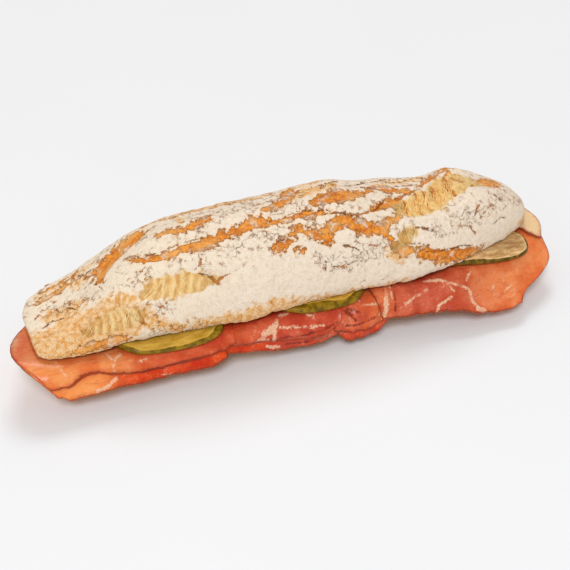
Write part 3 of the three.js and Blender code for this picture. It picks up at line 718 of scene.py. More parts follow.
# Single cracks in the flour.
CRACK_LINES = [
    [(-113, 60, 0.5), (-107, 57, 0.9), (-102, 57.5, 0.5)],
    [(-106, 44, 0.6), (-104.5, 38, 0.8), (-104, 35.5, 0.9)],
    [(-118, 40, 0.5), (-120, 33, 0.8), (-117, 29, 0.5)],
    [(-127, 40, 0.4), (-125, 33, 0.8), (-121, 29, 0.4)],
    [(-88, 38, 0.3), (-84, 37, 0.6), (-82, 33, 0.7)],
    [(-83, 42, 0.5), (-81, 38, 0.4)],
    [(-54, 41, 0.6), (-56, 36, 0.9), (-60, 32.5, 0.8)],
    [(-58, 31, 0.7), (-54, 29.5, 0.8), (-50, 25, 1.3), (-45, 28, 0.7), (-38, 31, 0.4)],
    [(-81, 17, 0.6), (-77, 18.5, 0.8), (-76, 20, 0.6)],
    [(-78, 16, 0.4), (-75, 15, 0.6)],
    [(-86, 47, 0.5), (-80, 46.5, 0.6), (-72, 46.5, 0.6), (-64, 48.5, 0.7), (-50, 51, 0.6)],
    [(-17, 52, 0.6), (-6, 51.6, 0.7), (2, 53, 0.9), (8, 51.8, 0.7), (16, 50, 0.8)],
    [(18, 47.5, 1), (24, 46, 0.9), (30, 44, 0.8), (36, 43.5, 0.9), (44, 45, 0.8), (52, 50, 0.8)],
    [(6, 41, 0.9), (3, 43.5, 0.7)],
    [(-14, 39, 0.7), (-7, 39, 0.5)],
    [(8, 18, 0.6), (9, 22, 0.7), (7.5, 25, 0.4)],
    [(20, 29, 0.9), (25, 27, 0.7), (28, 24.5, 0.6), (30, 20, 0.6)],
    [(33, 27, 0.5), (38, 25, 0.7), (42, 23, 0.4)],
    [(12, 19, 0.4), (18, 18, 0.7), (25, 19, 0.5)],
    [(63, 30, 0.9), (67, 28, 0.9), (73, 24, 0.5)],
    [(70, 31.5, 0.4), (76, 30, 0.5)],
    [(58, 22, 0.4), (64, 21, 0.6)],
    [(96, 20, 0.5), (98, 16, 0.7), (100, 12.5, 0.5)],
    [(100, 22, 0.4), (104, 26.5, 0.7), (108, 28.5, 0.4)],
    [(103, 20, 0.3), (108, 22.5, 0.5), (114, 24, 0.6)],
    [(60, 50, 1.2), (68, 52, 1.2), (78, 53.5, 0.8)],
    [(67, 14.5, 0.4), (76, 12, 0.6), (88, 11, 0.7), (97, 8, 0.7)],
    [(103, 58, 1.6), (106, 52, 1.4), (106, 49, 0.9)],
    [(44, 8, 0.3), (40, 5, 0.5)],
    [(30, 7, 0.3), (27, 4, 0.5)],
    [(118, 30, 0.4), (122, 26, 0.8), (124, 21, 0.5)],
    [(127, 33, 0.4), (131, 27, 0.7), (130, 22, 0.4)],
    [(112, 14, 0.4), (119, 15, 0.7), (124, 12, 0.4)],
    [(20, 68, 1.2), (24, 73, 1.4)],
    [(58, 70, 0.7), (70, 67, 1), (84, 69, 0.8)],
    [(42, 66, 1), (48, 63, 1.2), (54, 60, 1)],
    [(16, 74, 0.7), (30, 75, 1), (46, 72, 1), (60, 71, 0.8)],
    [(30, 68, 0.7), (44, 69, 1), (62, 74, 1), (78, 74, 0.8)],
    [(64, 62, 0.8), (72, 60, 1), (80, 58.5, 0.8)],
    [(-30, 66, 0.6), (-14, 70, 0.9), (0, 73, 0.8)],
    [(-60, 66, 0.6), (-44, 69, 0.9), (-30, 72, 0.8)],
    [(-138, 30, 0.5), (-132, 38, 0.8), (-124, 44, 0.7)],
    [(-136, 22, 0.4), (-130, 27, 0.8), (-124, 27, 0.6)],
]
# Thick strands of crumb that stand up in the two tears at the left.
STRAND_LINES = [
    [(-93, 10, 1.1), (-93.6, 15, 2), (-95.4, 20, 1.4)],
    [(-98.6, 9, 0.6), (-98.4, 14, 0.9), (-99.6, 20, 0.6)],
    [(-101.6, 9.5, 0.4), (-101.4, 14, 0.6), (-102.2, 19, 0.4)],
    [(-105, 9, 0.7), (-104.6, 14, 1.1), (-104.4, 19, 0.7)],
    [(-109.4, 10, 0.5), (-109, 14, 0.8), (-108.4, 18, 0.5)],
    [(-113.4, 11, 0.4), (-113, 14, 0.6), (-112, 17, 0.4)],
    [(-84, 22, 0.6), (-81, 26, 1), (-80, 31, 0.6)],
    [(-79, 21.5, 0.5), (-76.6, 26, 0.9), (-75, 32, 0.6)],
    [(-74, 21.5, 0.6), (-71.6, 27, 1.2), (-70.4, 33, 0.7)],
    [(-69, 21.5, 0.4), (-66.6, 27, 0.8), (-65.6, 33, 0.5)],
    [(-64.4, 22.5, 0.5), (-62.4, 27, 0.9), (-61, 31, 0.5)],
    [(-59.6, 24, 0.4), (-57.6, 28, 0.7)],
]
# Folds across the golden crumb of the big tear at the right.
RIB_LINES = [
    [(62, 37, 0.6), (63.5, 42, 1.1), (64.5, 48, 0.6)],
    [(70, 35.5, 0.5), (70.5, 42, 1.3), (73, 50, 0.9)],
    [(77, 35, 0.4), (77, 43, 1.2), (80, 53, 1)],
    [(85, 38, 0.6), (84, 46, 1.3), (88, 56, 0.9)],
    [(96, 41, 0.6), (94, 50, 1.3), (98, 60, 1)],
    [(110, 42, 1.4), (120, 40, 2), (128, 36, 2)],
]
# Where the flour is cracked into plates.
CRACKED_BANDS = [
    [(6, 24, 3), (16, 20, 5), (28, 22, 7), (40, 22, 6), (46, 26, 3)],
    [(-126, 34, 6), (-112, 36, 5)],
    [(-90, 33, 3), (-82, 38, 3)],
    [(-84, 17, 4), (-76, 16, 3)],
    [(-60, 3, 3), (-84, 5, 3.5)],
    [(-40, 40, 3), (-26, 43, 3)],
    [(-10, 56, 5), (8, 55, 3)],
    [(76, 24, 4), (92, 24, 6), (108, 24, 6), (120, 26, 3)],
    [(44, 40, 2), (52, 30, 4), (60, 30, 4)],
    [(116, 25, 4), (130, 22, 6), (140, 16, 4)],
    [(112, 34, 2), (124, 38, 4), (134, 34, 4)],
    [(-50, 70, 6), (-20, 68, 6)],
]


# Lumps of the upper crust: height and size in mm, and seed.
CRUST_LUMPS = [(0.75, 30, 1), (0.5, 13, 2), (0.36, 6, 3), (0.22, 2.8, 4), (0.1, 1.4, 8)]


def loaf_stations(columns):
    """X of the crust's rings, evenly far apart along the surface, the blunt ends included."""
    trial_steps = 9001
    x = LOAF_MIDDLE_X - LOAF_LENGTH / 2 * np.cos(np.linspace(0, math.pi, trial_steps))
    width = along(UPPER_FORM, x)[:, 1] * end_round(x, *PLAN_ENDS)
    path = np.concatenate([[0], np.cumsum(np.hypot(np.diff(x), np.diff(width)))])
    return np.interp(np.linspace(0, path[-1], columns + 2)[1:-1], path, x)


def upper_crust_grid(columns, around):
    """Smooth crust points, and for each its distances up from the front and the back lip."""
    x = loaf_stations(columns)[:, None]
    angle = math.pi * (np.arange(around + 1) / around)[None, :] ** CLOSER_IN_FRONT
    form = along(UPPER_FORM, x)
    width = form[..., 1] * end_round(x, *PLAN_ENDS)
    height = form[..., 2] * end_round(x, *SIDE_ENDS)
    side = rounded(np.cos(angle), SECTION_POWER)
    rise = height * rounded(np.sin(angle), SECTION_POWER)
    tuck = 1 - LIP_TUCK * (1 - np.minimum(rise / LIP_TUCK_HEIGHT, 1)) ** 2
    y = form[..., 0] - width * side * tuck
    x = np.broadcast_to(x, y.shape)
    grid = np.stack([x, y, cut_face(x, y) + rise], -1)
    lengths = np.linalg.norm(np.diff(grid[..., 1:], axis=1), axis=-1)
    up = np.concatenate([np.zeros((len(grid), 1)), np.cumsum(lengths, axis=1)], axis=1)
    return grid, up, up[:, -1:] - up


def upper_crust_marks(grid, up):
    """How deep inside each kind of band a place on the crust is, and its tones. On the far side,
    which the photo hides, the bands come from noise."""
    x = grid[..., 0]
    far = ramp(up, *FAR_SIDE)
    strips = rough(grid * np.array([0.22, 1.0, 1.0]), [(1, 9, 5), (0.5, 4, 6)])
    bare = np.maximum(band_depth(x, up, BARE_BANDS), mixed(-8, 9 * (strips - 0.42), far))
    thin = mixed(-8, 5 * lumps(grid, 16, 9) - 1, far)
    cracked = np.maximum(band_depth(x, up, CRACKED_BANDS), mixed(-4, -0.8, ramp(up, 24, 36)))
    middle_tear = ramp(x, -92, -86) * (1 - ramp(x, -46, -38))
    return {
        "bare": bare,
        "golden": np.maximum(band_depth(x, up, GOLDEN_BANDS), thin),
        "crumb": band_depth(x, up, CRUMB_BANDS),
        "cracked": np.maximum(cracked, mixed(-8, 6 * lumps(grid, 13, 12), far)),
        "crack_line": band_depth(x, up, CRACK_LINES),
        "strand": band_depth(x, up, STRAND_LINES),
        "rib": band_depth(x, up, RIB_LINES),
        "ochre": 0.15 + 0.65 * ramp(x, 50, 66) + 0.35 * middle_tear,
        # painted shade, darker near the front lip
        "shade": 0.12 * (1 - ramp(up, 0, 3.5)) + 0.06 * (1 - ramp(up, 4, 26)),
    }


def upper_crust_relief(grid, up, close, tip, marks):
    """Lumps, sunken tears, bare strips and cracks, and raised strands. It fades at the lips and
    at the tips, and what stands out is lowered, to stay near the solid."""
    x = grid[..., 0]
    torn = np.zeros(x.shape)
    for depth, band in TEARS:
        half = np.mean([width for _, _, width in band])
        inside = band_depth(x, up, [band])
        torn = np.maximum(torn, depth * ramp(inside, -0.4 * half, 0.8 * half))
    relief = rough(grid, CRUST_LUMPS)
    relief -= torn
    relief -= 0.65 * ramp(marks["bare"], -0.5, 0.9) + 0.6 * ramp(marks["crack_line"], -0.4, 0.5)
    relief -= 1.1 * ramp(marks["rib"], -1.6, 0.8)
    pulled = rough(grid * np.array([1.0, 0.28, 0.28]), [(1, 3.4, 21), (0.5, 1.8, 22)])
    relief += 0.5 * pulled * ramp(marks["crumb"], -0.5, 1.5)
    relief += 1.5 * ramp(marks["strand"], -1.5, 0.9)
    relief *= ramp(close, -2.5, 7) * ramp(tip, 0.05, 0.6)
    return np.where(relief > 0, relief * 0.6, relief)


def marks_on_rings(rings, around, marks):
    """Each crust mark as one list over the closed rings and the two tips. A mark that isn't given
    is absent from the crust."""
    spread = {}
    for name, on_cut_face in CRUST_MARKS.items():
        whole = np.full(rings.shape[:2], on_cut_face)
        whole[:, : around + 1] = steady(marks.get(name, -MARK_LIMIT))
        spread[name] = np.concatenate([[on_cut_face], whole.ravel(), [on_cut_face]])
    return spread


def make_upper_loaf(material):
    """The upper half as a piece, with its crust's points, their normals and distances up."""
    columns, around, under = 430, 170, 26
    grid, up, down = upper_crust_grid(columns, around)
    close = np.minimum(up, down)
    tip = end_round(grid[..., 0], *PLAN_ENDS)
    marks = upper_crust_marks(grid, up)
    relief = upper_crust_relief(grid, up, close, tip, marks)
    normals = surface_normals(grid)
    if normals[columns // 2, around // 2, 2] < 0:
        normals = -normals
    crust = grid + normals * relief[..., None]
    ragged = 0.25 + rough(flat_places(grid[..., 0]), [(0.5, 4.5, 25), (0.35, 1.7, 26)])
    crust[..., 2] += ragged * (1 - ramp(close, 0, 3)) * ramp(tip, 0.1, 0.6)

    share = (np.arange(1, under) / under)[None, :]
    floor_y = mixed(crust[:, -1:, 1], crust[:, :1, 1], share)
    floor_x = np.broadcast_to(grid[:, :1, 0], floor_y.shape)
    under_grid = np.stack([floor_x, floor_y, cut_face(floor_x, floor_y)], -1)
    under_grid[..., 2] += np.abs(rough(under_grid, [(0.35, 4, 31), (0.25, 2, 32)]))
    rings = np.concatenate([crust, under_grid], axis=1)
    ends = []
    for end in (-1, 1):
        tip_x = LOAF_MIDDLE_X + end * LOAF_LENGTH / 2
        middle = along(UPPER_FORM, tip_x)[0]
        ends.append([tip_x, middle, float(cut_face(tip_x, middle))])
    points = np.concatenate([[ends[0]], rings.reshape(-1, 3), [ends[1]]])
    faces = ring_faces(columns, rings.shape[1])
    piece = piece_from("upper_loaf", points, faces, marks_on_rings(rings, around, marks), material)
    return piece, crust, normals, up


def make_lower_loaf(material):
    """The lower half, which follows the ham's ground surface and is flat on the table."""
    stations, around, over = 230, 70, 26
    power, sunk, back_edge = 2.4, 2.5, 33
    full_x = loaf_stations(stations)[:, None]
    x = full_x * LOWER_LENGTH
    middle = along(UPPER_FORM, x)[..., 0]
    rounding = end_round(full_x, *LOWER_ENDS)
    start = along(DRAPE, x)[..., 0]
    ground = along(DRAPE, x)[..., 3] - CUT_CLEARANCE
    front = middle - (start + middle) * rounding
    back = middle + (back_edge - middle) * rounding
    angle = (math.pi * np.arange(around + 1) / around)[None, :]
    side = rounded(np.cos(angle), power)
    down = (ground + sunk) * rounding * rounded(np.sin(angle), power)
    y = (front + back) / 2 - ((back - front) / 2) * side
    grid = np.stack([np.broadcast_to(x, y.shape), y, ground - down], -1)
    normals = surface_normals(grid)
    if normals[stations // 2, around // 2, 2] > 0:
        normals = -normals
    relief = rough(grid, [(0.5, 20, 41), (0.3, 8, 42), (0.16, 3.2, 43)])
    relief = np.minimum(relief, 0.3) * ramp(ground - grid[..., 2], -0.5, 6)
    grid = grid + normals * relief[..., None]
    grid[..., 2] = np.maximum(grid[..., 2], 0)
    share = (np.arange(1, over) / over)[None, :]
    top_y = mixed(grid[:, -1:, 1], grid[:, :1, 1], share)
    top_x = np.broadcast_to(x, top_y.shape)
    top = np.stack([top_x, top_y, np.broadcast_to(ground, top_y.shape)], -1)
    rings = np.concatenate([grid, top], axis=1)
    ends = []
    for end in (-1, 1):
        tip_x = (LOAF_MIDDLE_X + end * LOAF_LENGTH / 2) * LOWER_LENGTH
        level = float(along(DRAPE, tip_x)[3]) - CUT_CLEARANCE
        ends.append([tip_x, float(along(UPPER_FORM, tip_x)[0]), level])
    points = np.concatenate([[ends[0]], rings.reshape(-1, 3), [ends[1]]])
    marks = {
        "bare": 7 * lumps(grid * np.array([0.4, 1, 1]), 9, 44) - 1.5,
        "golden": 3.0,
        "cracked": 6 * lumps(grid, 14, 45),
        "ochre": 0.1,
        "shade": 0.0,
    }
    faces = ring_faces(stations, rings.shape[1])
    spread = marks_on_rings(rings, around, marks)
    return piece_from("lower_loaf", points, faces, spread, material)


# Ham.

# Each slice: front and back edges as (x, reach), left and right edges as (reach, x), and its
# layer from the bottom as (x, layer). fat, pale and the dark crease lines are bands of (x, reach,
# half width); the crease lines are painted shade in creases and under the edges of slices above.
# salmon and scarlet say how orange and how red the meat is along x, rind how dark its edge is,
# free whether its left and right edges show or meet the next slice, and shade how much painted
# shade lies on it under the bread's lip, 0.35 where not given.
HAM_SLICES = {
    "ham_left_lower": {
        "front": [(-153, 43), (-137, 46), (-131, 48.8), (-110, 48.6), (-80, 49.4), (-60, 50),
                  (-54, 48.8), (-49, 46)],
        "back": [(-153, -30), (-120, -43), (-80, -40), (-49, -42)],
        "left": [(-43, -126), (-16, -134), (0, -147), (12, -152), (26, -151), (38, -143),
                 (46, -137.5), (50, -136)],
        "right": [(-43, -51), (10, -49.3), (50, -49.3)],
        "layer": [(-153, 0), (-48, 0)],
        "salmon": [(-153, 1), (-110, 1), (-100, 0.6), (-70, 0.45), (-49, 0.4)],
        "fat": [[(-118, 47, 1.2), (-112, 45.5, 0.8), (-108, 43, 0.8)],
                [(-86, 46.5, 0.5), (-80, 48.5, 0.7)]],
        "scarlet": [(-153, 0), (-114, 0.1), (-102, 0.9), (-49, 1)],
        "free": (True, True),
        "rind": 0.7,
    },
    "ham_left_upper": {
        "front": [(-153, 39), (-139, 40.7), (-131, 41.4), (-124, 39.1), (-117, 38.8),
                  (-108, 41.2), (-90, 43.4), (-62, 43.7), (-45, 41.5)],
        "back": [(-153, -24), (-120, -38), (-80, -43), (-45, -37)],
        "left": [(-43, -122), (-14, -133), (1, -147), (12, -153.5), (24, -153.5), (33, -146),
                 (41, -140)],
        "right": [(-43, -47.5), (20, -44.5), (44, -46)],
        "layer": [(-153, 2), (-142, 1.7), (-130, 1.25), (-116, 1), (-43, 1)],
        "salmon": [(-153, 0.85), (-130, 0.9), (-108, 0.85), (-96, 0.6), (-80, 0.35), (-45, 0.25)],
        "fat": [[(-136, 21, 0.5), (-134.6, 27, 0.7), (-134.5, 32, 0.4), (-132, 36, 0.4)],
                [(-110, 28, 0.4), (-109, 33, 0.6), (-107, 35.5, 0.7), (-103, 33.5, 0.5)],
                [(-108, 37, 0.5), (-109, 40, 0.6)],
                [(-97, 38.6, 0.2), (-91, 37.8, 0.3)]],
        "pale": [[(-147, -2, 2), (-151, 5, 2.6), (-153.4, 12, 2)]],
        "groove": [[(-104, 42.4, 0.3), (-92, 42.8, 0.5), (-76, 42.8, 0.5), (-62, 42.4, 0.3)]],
        "scarlet": [(-153, 0), (-106, 0.05), (-88, 0.4), (-45, 0.45)],
        "free": (True, False),
        "rind": 0.85,
    },
    "ham_middle_lower": {
        "front": [(-49, 45.2), (-43, 46.5), (-34, 47.4), (-22, 50.2), (-8, 51.2), (2, 51),
                  (11.5, 49.6)],
        "back": [(-51, -40), (-20, -44), (12, -40)],
        "left": [(-44, -50), (10, -47), (50, -48.3)],
        "right": [(-44, 11), (30, 12.4), (51, 12)],
        "layer": [(-52, 0), (13, 0)],
        "salmon": [(-52, 0.5), (-30, 0.7), (-20, 0.2), (12, 0.1)],
        "fat": [[(-28, 46, 0.9), (-25, 47.6, 1.2), (-21, 48.2, 0.7)],
                [(-2, 48.6, 0.3), (9, 48.2, 0.3)]],
        "groove": [[(-18, 47.6, 0.3), (-6, 48.8, 0.5), (6, 48.4, 0.4)],
                   [(-48, 46, 0.5), (-42, 45.2, 0.4)]],
        "scarlet": [(-52, 1), (-30, 0.95), (-16, 0.35), (12, 0.4)],
        "free": (False, False),
        "rind": 0.4,
    },
    "ham_middle_upper": {
        "front": [(-45, 42.4), (-37, 42.7), (-29, 43.1), (-18, 45.4), (-4, 47), (5, 46.6),
                  (10, 44.8), (17, 41)],
        "back": [(-45, -42), (-15, -39), (17, -42)],
        "left": [(-43, -45), (20, -43), (44, -44.5)],
        "right": [(-43, 13), (20, 16), (36, 14.5), (47, 8.5)],
        "layer": [(-46, 1), (18, 1)],
        "salmon": [(-45, 0.3), (-20, 0.1), (17, 0.15)],
        "fat": [[(-29, 39.5, 1.2), (-23, 38.4, 1.6), (-20, 36, 1.0)],
                [(-23, 38.4, 1.2), (-24, 43, 1.4)],
                [(-18, 34, 0.6), (-13, 34, 0.7)],
                [(-6, 34, 0.3), (-2, 37, 0.5), (1, 39.5, 0.6)],
                [(-20, 38.6, 0.5), (-12, 39.6, 0.4), (-4, 41, 0.5), (4, 41.6, 0.3)],
                [(-34, 41.6, 0.4), (-30, 41, 0.7), (-27, 42.5, 0.9)]],
        "groove": [[(-20, 43.2, 0.3), (-8, 44.4, 0.5), (4, 43.8, 0.5), (12, 41.6, 0.4)],
                   [(-40, 41.6, 0.3), (-32, 42, 0.4)]],
        "scarlet": [(-46, 0.3), (18, 0.25)],
        "free": (False, False),
        "rind": 0.5,
    },
    "ham_fold_lower": {
        "front": [(12, 50), (17, 54.2), (26, 54.3), (34, 53.4), (40, 50)],
        "back": [(11, -42), (46, -39)],
        "left": [(-42, 12.5), (20, 13.2), (54, 12.8)],
        "right": [(-42, 46), (30, 46), (44, 41), (54, 37)],
        "layer": [(10, 0), (50, 0)],
        "salmon": [(12, 0.1), (40, 0.2)],
        "fat": [[(12, 49, 0.5), (14, 48.4, 0.5)]],
        "scarlet": [(10, 0.6), (50, 0.6)],
        "free": (True, False),
        "rind": 0.7,
    },
    "ham_fold_upper": {
        "front": [(9, 46.8), (15, 49), (24, 50), (33, 49.3), (40, 46.5)],
        "back": [(13, -37), (46, -43)],
        "left": [(-42, 14.5), (20, 17.5), (36, 16), (47, 10), (50, 9.5)],
        "right": [(-42, 45), (30, 45), (44, 40), (50, 36.5)],
        "layer": [(8, 1), (48, 1)],
        "salmon": [(9, 0.25), (28, 0.35), (38, 0.8), (46, 0.8)],
        "fat": [[(19, 36, 0.3), (26, 35.6, 0.4)], [(36, 37, 0.7), (38, 41, 1.0), (36, 44, 0.6)],
                [(28, 38, 0.3), (36, 39, 0.5)], [(40, 33, 0.5), (38, 36, 0.6)]],
        "groove": [[(14, 37, 0.4), (19, 40, 0.8), (22, 43, 0.5)],
                   [(18, 37.5, 0.4), (25, 40.5, 0.6)],
                   [(14, 45, 0.3), (24, 46, 0.5), (33, 44.6, 0.4)],
                   [(38, 42, 0.3), (41, 36, 0.5), (43, 30, 0.4)]],
        "scarlet": [(8, 0.35), (48, 0.2)],
        "free": (False, False),
        "rind": 0.8,
    },
    "ham_right_lower": {
        "front": [(36, 47), (47, 48.2), (61, 50.5), (79, 54), (90, 57.4), (105, 59),
                  (112, 58.5), (118, 56), (150, 53)],
        "back": [(36, -40), (70, -43), (110, -42), (150, -34)],
        "left": [(-43, 42), (30, 34), (42, 36), (48, 37.5)],
        "right": [(-43, 140), (-20, 149), (10, 149.5), (27, 149.5), (34, 145), (42, 135),
                  (49, 123.5), (54, 119), (59, 116.5)],
        "layer": [(36, 2), (46.5, 2), (66, 0), (150, 0)],
        "salmon": [(36, 0.5), (42, 0.4), (47, 0.2), (72, 0.15), (88, 0.3), (98, 0.5),
                   (112, 0.6), (150, 0.8)],
        "fat": [[(38, 45, 0.8), (39.5, 41, 1.6), (41, 37.5, 1.1)],
                [(42, 36, 0.3), (43.6, 29, 0.3)], [(45.5, 33, 0.4), (44, 38, 0.4)],
                [(50, 42, 0.4), (58, 40, 0.4), (66, 38, 0.4)],
                [(66, 34, 0.7), (74, 35, 0.9), (80, 38, 0.8), (86, 41.5, 0.8), (90, 43, 0.9)],
                [(77, 36, 0.5), (79, 40, 0.5), (80.5, 43, 0.4)],
                [(90, 43, 0.9), (89, 50, 0.8), (91, 55, 1.6), (94, 57, 1.8)],
                [(67, 51.5, 0.8), (70, 48, 0.8), (78, 45.5, 0.6)],
                [(90, 38, 0.6), (93, 35, 0.7), (95, 33, 0.4)],
                [(102, 46, 0.3), (106, 43.5, 0.4)], [(112, 41, 0.6), (116, 45, 0.6)],
                [(108, 49, 0.4), (116, 45, 0.4)], [(122, 38, 0.4), (124, 34, 0.4)]],
        "groove": [[(44, 44, 0.3), (46, 37, 0.4), (47, 30, 0.4)],
                   [(40.6, 35, 0.3), (41.6, 30, 0.4)]],
        "scarlet": [(36, 0.2), (48, 0), (150, 0)],
        "free": (True, True),
        "rind": 0.75,
    },
    "ham_right_upper": {
        "front": [(76, 4), (128, 6), (136, 10.5), (143, 17), (154, 19.5)],
        "back": [(76, -44), (110, -38), (154, -30)],
        "left": [(-44, 80), (18, 76)],
        "right": [(-44, 136), (-20, 149), (0, 154), (8.5, 152.5), (18.5, 147.5)],
        "layer": [(76, 1), (154, 1)],
        "salmon": [(76, 1), (154, 1)],
        "fat": [[(130, 14, 0.5), (142, 12, 0.5)]],
        "pale": [[(110, 2, 16), (140, 4, 16), (152, -4, 16)]],
        "scarlet": [(76, 0), (154, 0)],
        "free": (True, True),
        "rind": 0.9,
        "shade": 0.0,
    },
}


def ham_wave(x, reach, place):
    """The waves that all the layers share, so they lie on each other."""
    start = along(DRAPE, x)[..., 0]
    strength = along(WAVE_STRENGTH, x)[..., 0]
    hanging = ramp(reach, start, start + 20)
    free = np.where(reach > 0, hanging, ramp(-reach, BACK_START, 46))
    wave = 1.1 * np.sin(x / 9.5 + 0.6) + 0.6 * np.sin(x / 4.6 + 2)
    small = rough(place, [(0.16, 6, 51), (0.08, 2.6, 52)])
    # the short slices right of the middle are crumpled
    crumpled = ramp(x, 8, 16) * (1 - ramp(x, 38, 46)) * ramp(reach, start + 2, start + 10)
    creases = 0.6 * np.sin((x + 0.7 * reach) / 1.6) + 0.5 * lumps(place, 3.2, 53)
    return free * strength * wave + small * ramp(reach, start - 6, start + 6) + crumpled * creases


# Rows of a slice's mesh: over its back, its hidden flat, its front bend and what hangs.
HAM_ROWS = (6, 10, 14, 26)
ROWS_CROWD_IN_FRONT = 1.15
# Its columns are this far apart.
HAM_COLUMN = 0.7
# The outlines depend on each other, so a slice's places are worked out again this many times.
SETTLING_ROUNDS = 6
# A slice that meets its neighbour slips under it at its left, and over it at its right, where it
# is a little lifted.
SLIPS_UNDER, SLIPS_OVER = 1.2, 1.6
LIFT_OVER, LIFT_LENGTH = 0.3, 6
# An edge that meets the next slice has no dried rim, so it counts as this far away.
NO_RIM = 50


def ham_rows(form, x):
    """Reach of each row at x: wide steps across the hidden flat, short ones where it shows."""
    back = along(form["back"], x)[..., 0]
    front = along(form["front"], x)[..., 0]
    frayed = 0.38 + 0.5 * ramp(x, 108, 118)
    front = front + rough(flat_places(x), [(frayed, 2.8, 54), (0.18, 1.1, 55)]) - 0.2
    bends = along(DRAPE, x)
    start, droop, radius = bends[..., 0], bends[..., 1], bends[..., 2]
    back_bend = np.maximum(-BACK_START, back + 3)
    bend_start = np.minimum(start, front - 4)
    bend_end = np.minimum(start + radius * np.radians(droop), front - 2)
    stops = [back, back_bend, bend_start, bend_end, front]
    rows = [back]
    for low, high, count in zip(stops, stops[1:], HAM_ROWS):
        for i in range(1, count + 1):
            share = i / count
            if high is front:
                share = 1 - (1 - share) ** ROWS_CROWD_IN_FRONT
            rows.append(mixed(low, high, share))
    return np.stack(rows, axis=-1)


def make_ham_slice(name, material):
    """A slice of columns side by side along the loaf, each with rows from its back edge to its
    front edge."""
    form = HAM_SLICES[name]
    length = form["layer"][-1][0] - form["layer"][0][0]
    columns = int(length / HAM_COLUMN)
    u = np.linspace(0, 1, columns + 1)[:, None]
    left_free, right_free = form["free"]
    left_shift = 0 if left_free else -SLIPS_UNDER
    right_shift = 0 if right_free else SLIPS_OVER
    left = along(form["left"], 0.0)[0] + left_shift
    right = along(form["right"], 0.0)[0] + right_shift
    x = np.broadcast_to(mixed(left, right, u), (columns + 1, 1 + sum(HAM_ROWS)))
    for _ in range(SETTLING_ROUNDS):
        rows = ham_rows(form, x)
        reach = np.stack([rows[:, j, j] for j in range(rows.shape[1])], axis=1)
        left = along(form["left"], reach)[..., 0] + left_shift
        right = along(form["right"], reach)[..., 0] + right_shift
        x = mixed(left, right, u)
    layer = along(form["layer"], x)[..., 0]
    start = along(DRAPE, x)[..., 0]
    middle = FIRST_LAYER + layer * LAYER_PITCH + ham_wave(x, reach, flat_places(x, reach))
    if not right_free:
        middle = middle + LIFT_OVER * ramp(u, 1 - LIFT_LENGTH / length, 1)
    step_x = np.hypot(np.gradient(x, axis=0), np.gradient(reach, axis=0))
    row_step = np.hypot(np.gradient(x, axis=1), np.gradient(reach, axis=1))
    from_left = np.cumsum(step_x, axis=0) + (0 if left_free else NO_RIM)
    from_right = np.cumsum(step_x[::-1], axis=0)[::-1] + (0 if right_free else NO_RIM)
    from_front = np.cumsum(row_step[:, ::-1], axis=1)[:, ::-1]
    rim = np.minimum(np.minimum(from_left, from_right), from_front) - HAM_THICKNESS / 2
    thin = 0.35 + 0.65 * np.sqrt(np.clip(rim, 0, 1))
    sheets = []
    for side in (1, -1):
        y, z = drape(x, reach, middle + side * HAM_THICKNESS / 2 * thin)
        sheets.append(np.stack([x, y, z], -1))
    points = np.concatenate([sheet.reshape(-1, 3) for sheet in sheets])
    index = np.arange(x.size).reshape(x.shape)
    quads = np.stack([index[:-1, :-1], index[1:, :-1], index[1:, 1:], index[:-1, 1:]], -1)
    quads = quads.reshape(-1, 4)
    edge = np.concatenate([index[:, 0], index[-1, 1:], index[-2::-1, -1], index[0, -2:0:-1]])
    onward = np.roll(edge, -1)
    faces = quads.tolist() + (quads[:, [0, 3, 2, 1]] + x.size).tolist()
    faces += np.stack([edge, edge + x.size, onward + x.size, onward], -1).tolist()
    marks = {
        "rim": steady(rim),
        "rind": np.full(x.shape, form["rind"]),
        # painted shade on the part under the bread, up to just past its lip
        "shade": form.get("shade", 0.35) * (1 - ramp(reach, start - 1, start + 5)),
    }
    for tone in ("salmon", "scarlet"):
        marks[tone] = along(form[tone], x)[..., 0]
    for bands in ("fat", "pale", "groove"):
        marks[bands] = steady(band_depth(x, reach, form.get(bands, [])))
    marks = {mark: np.tile(values.ravel(), 2) for mark, values in marks.items()}
    return piece_from(name.replace("ham", "slice"), points, faces, marks, material)


# Gherkins.

# For each slice: its middle, size, how many layers of ham are under it, how wide its skin shows
# at the left and at the right, how yellow its right end is, and its painted shade under the bread.
GHERKINS = {
    "gherkin_left": {"x": -75.7, "reach": 27, "length": 57.5, "width": 24.5, "layers": 2,
                     "skin": (1.5, 3.2), "bright": 0.8, "shade": 0.9},
    "gherkin_middle": {"x": 6.3, "reach": 25.2, "length": 54, "width": 24.5, "layers": 2,
                       "skin": (3.3, 3.3), "bright": 0.1, "shade": 0.4},
    "gherkin_right": {"x": 102, "reach": 19.6, "length": 68, "width": 23, "layers": 1,
                      "skin": (1.7, 1.7), "bright": 0.0, "shade": 0.25},
}
# Degrees that each slice is turned, seen from above.
GHERKIN_TURN = 4


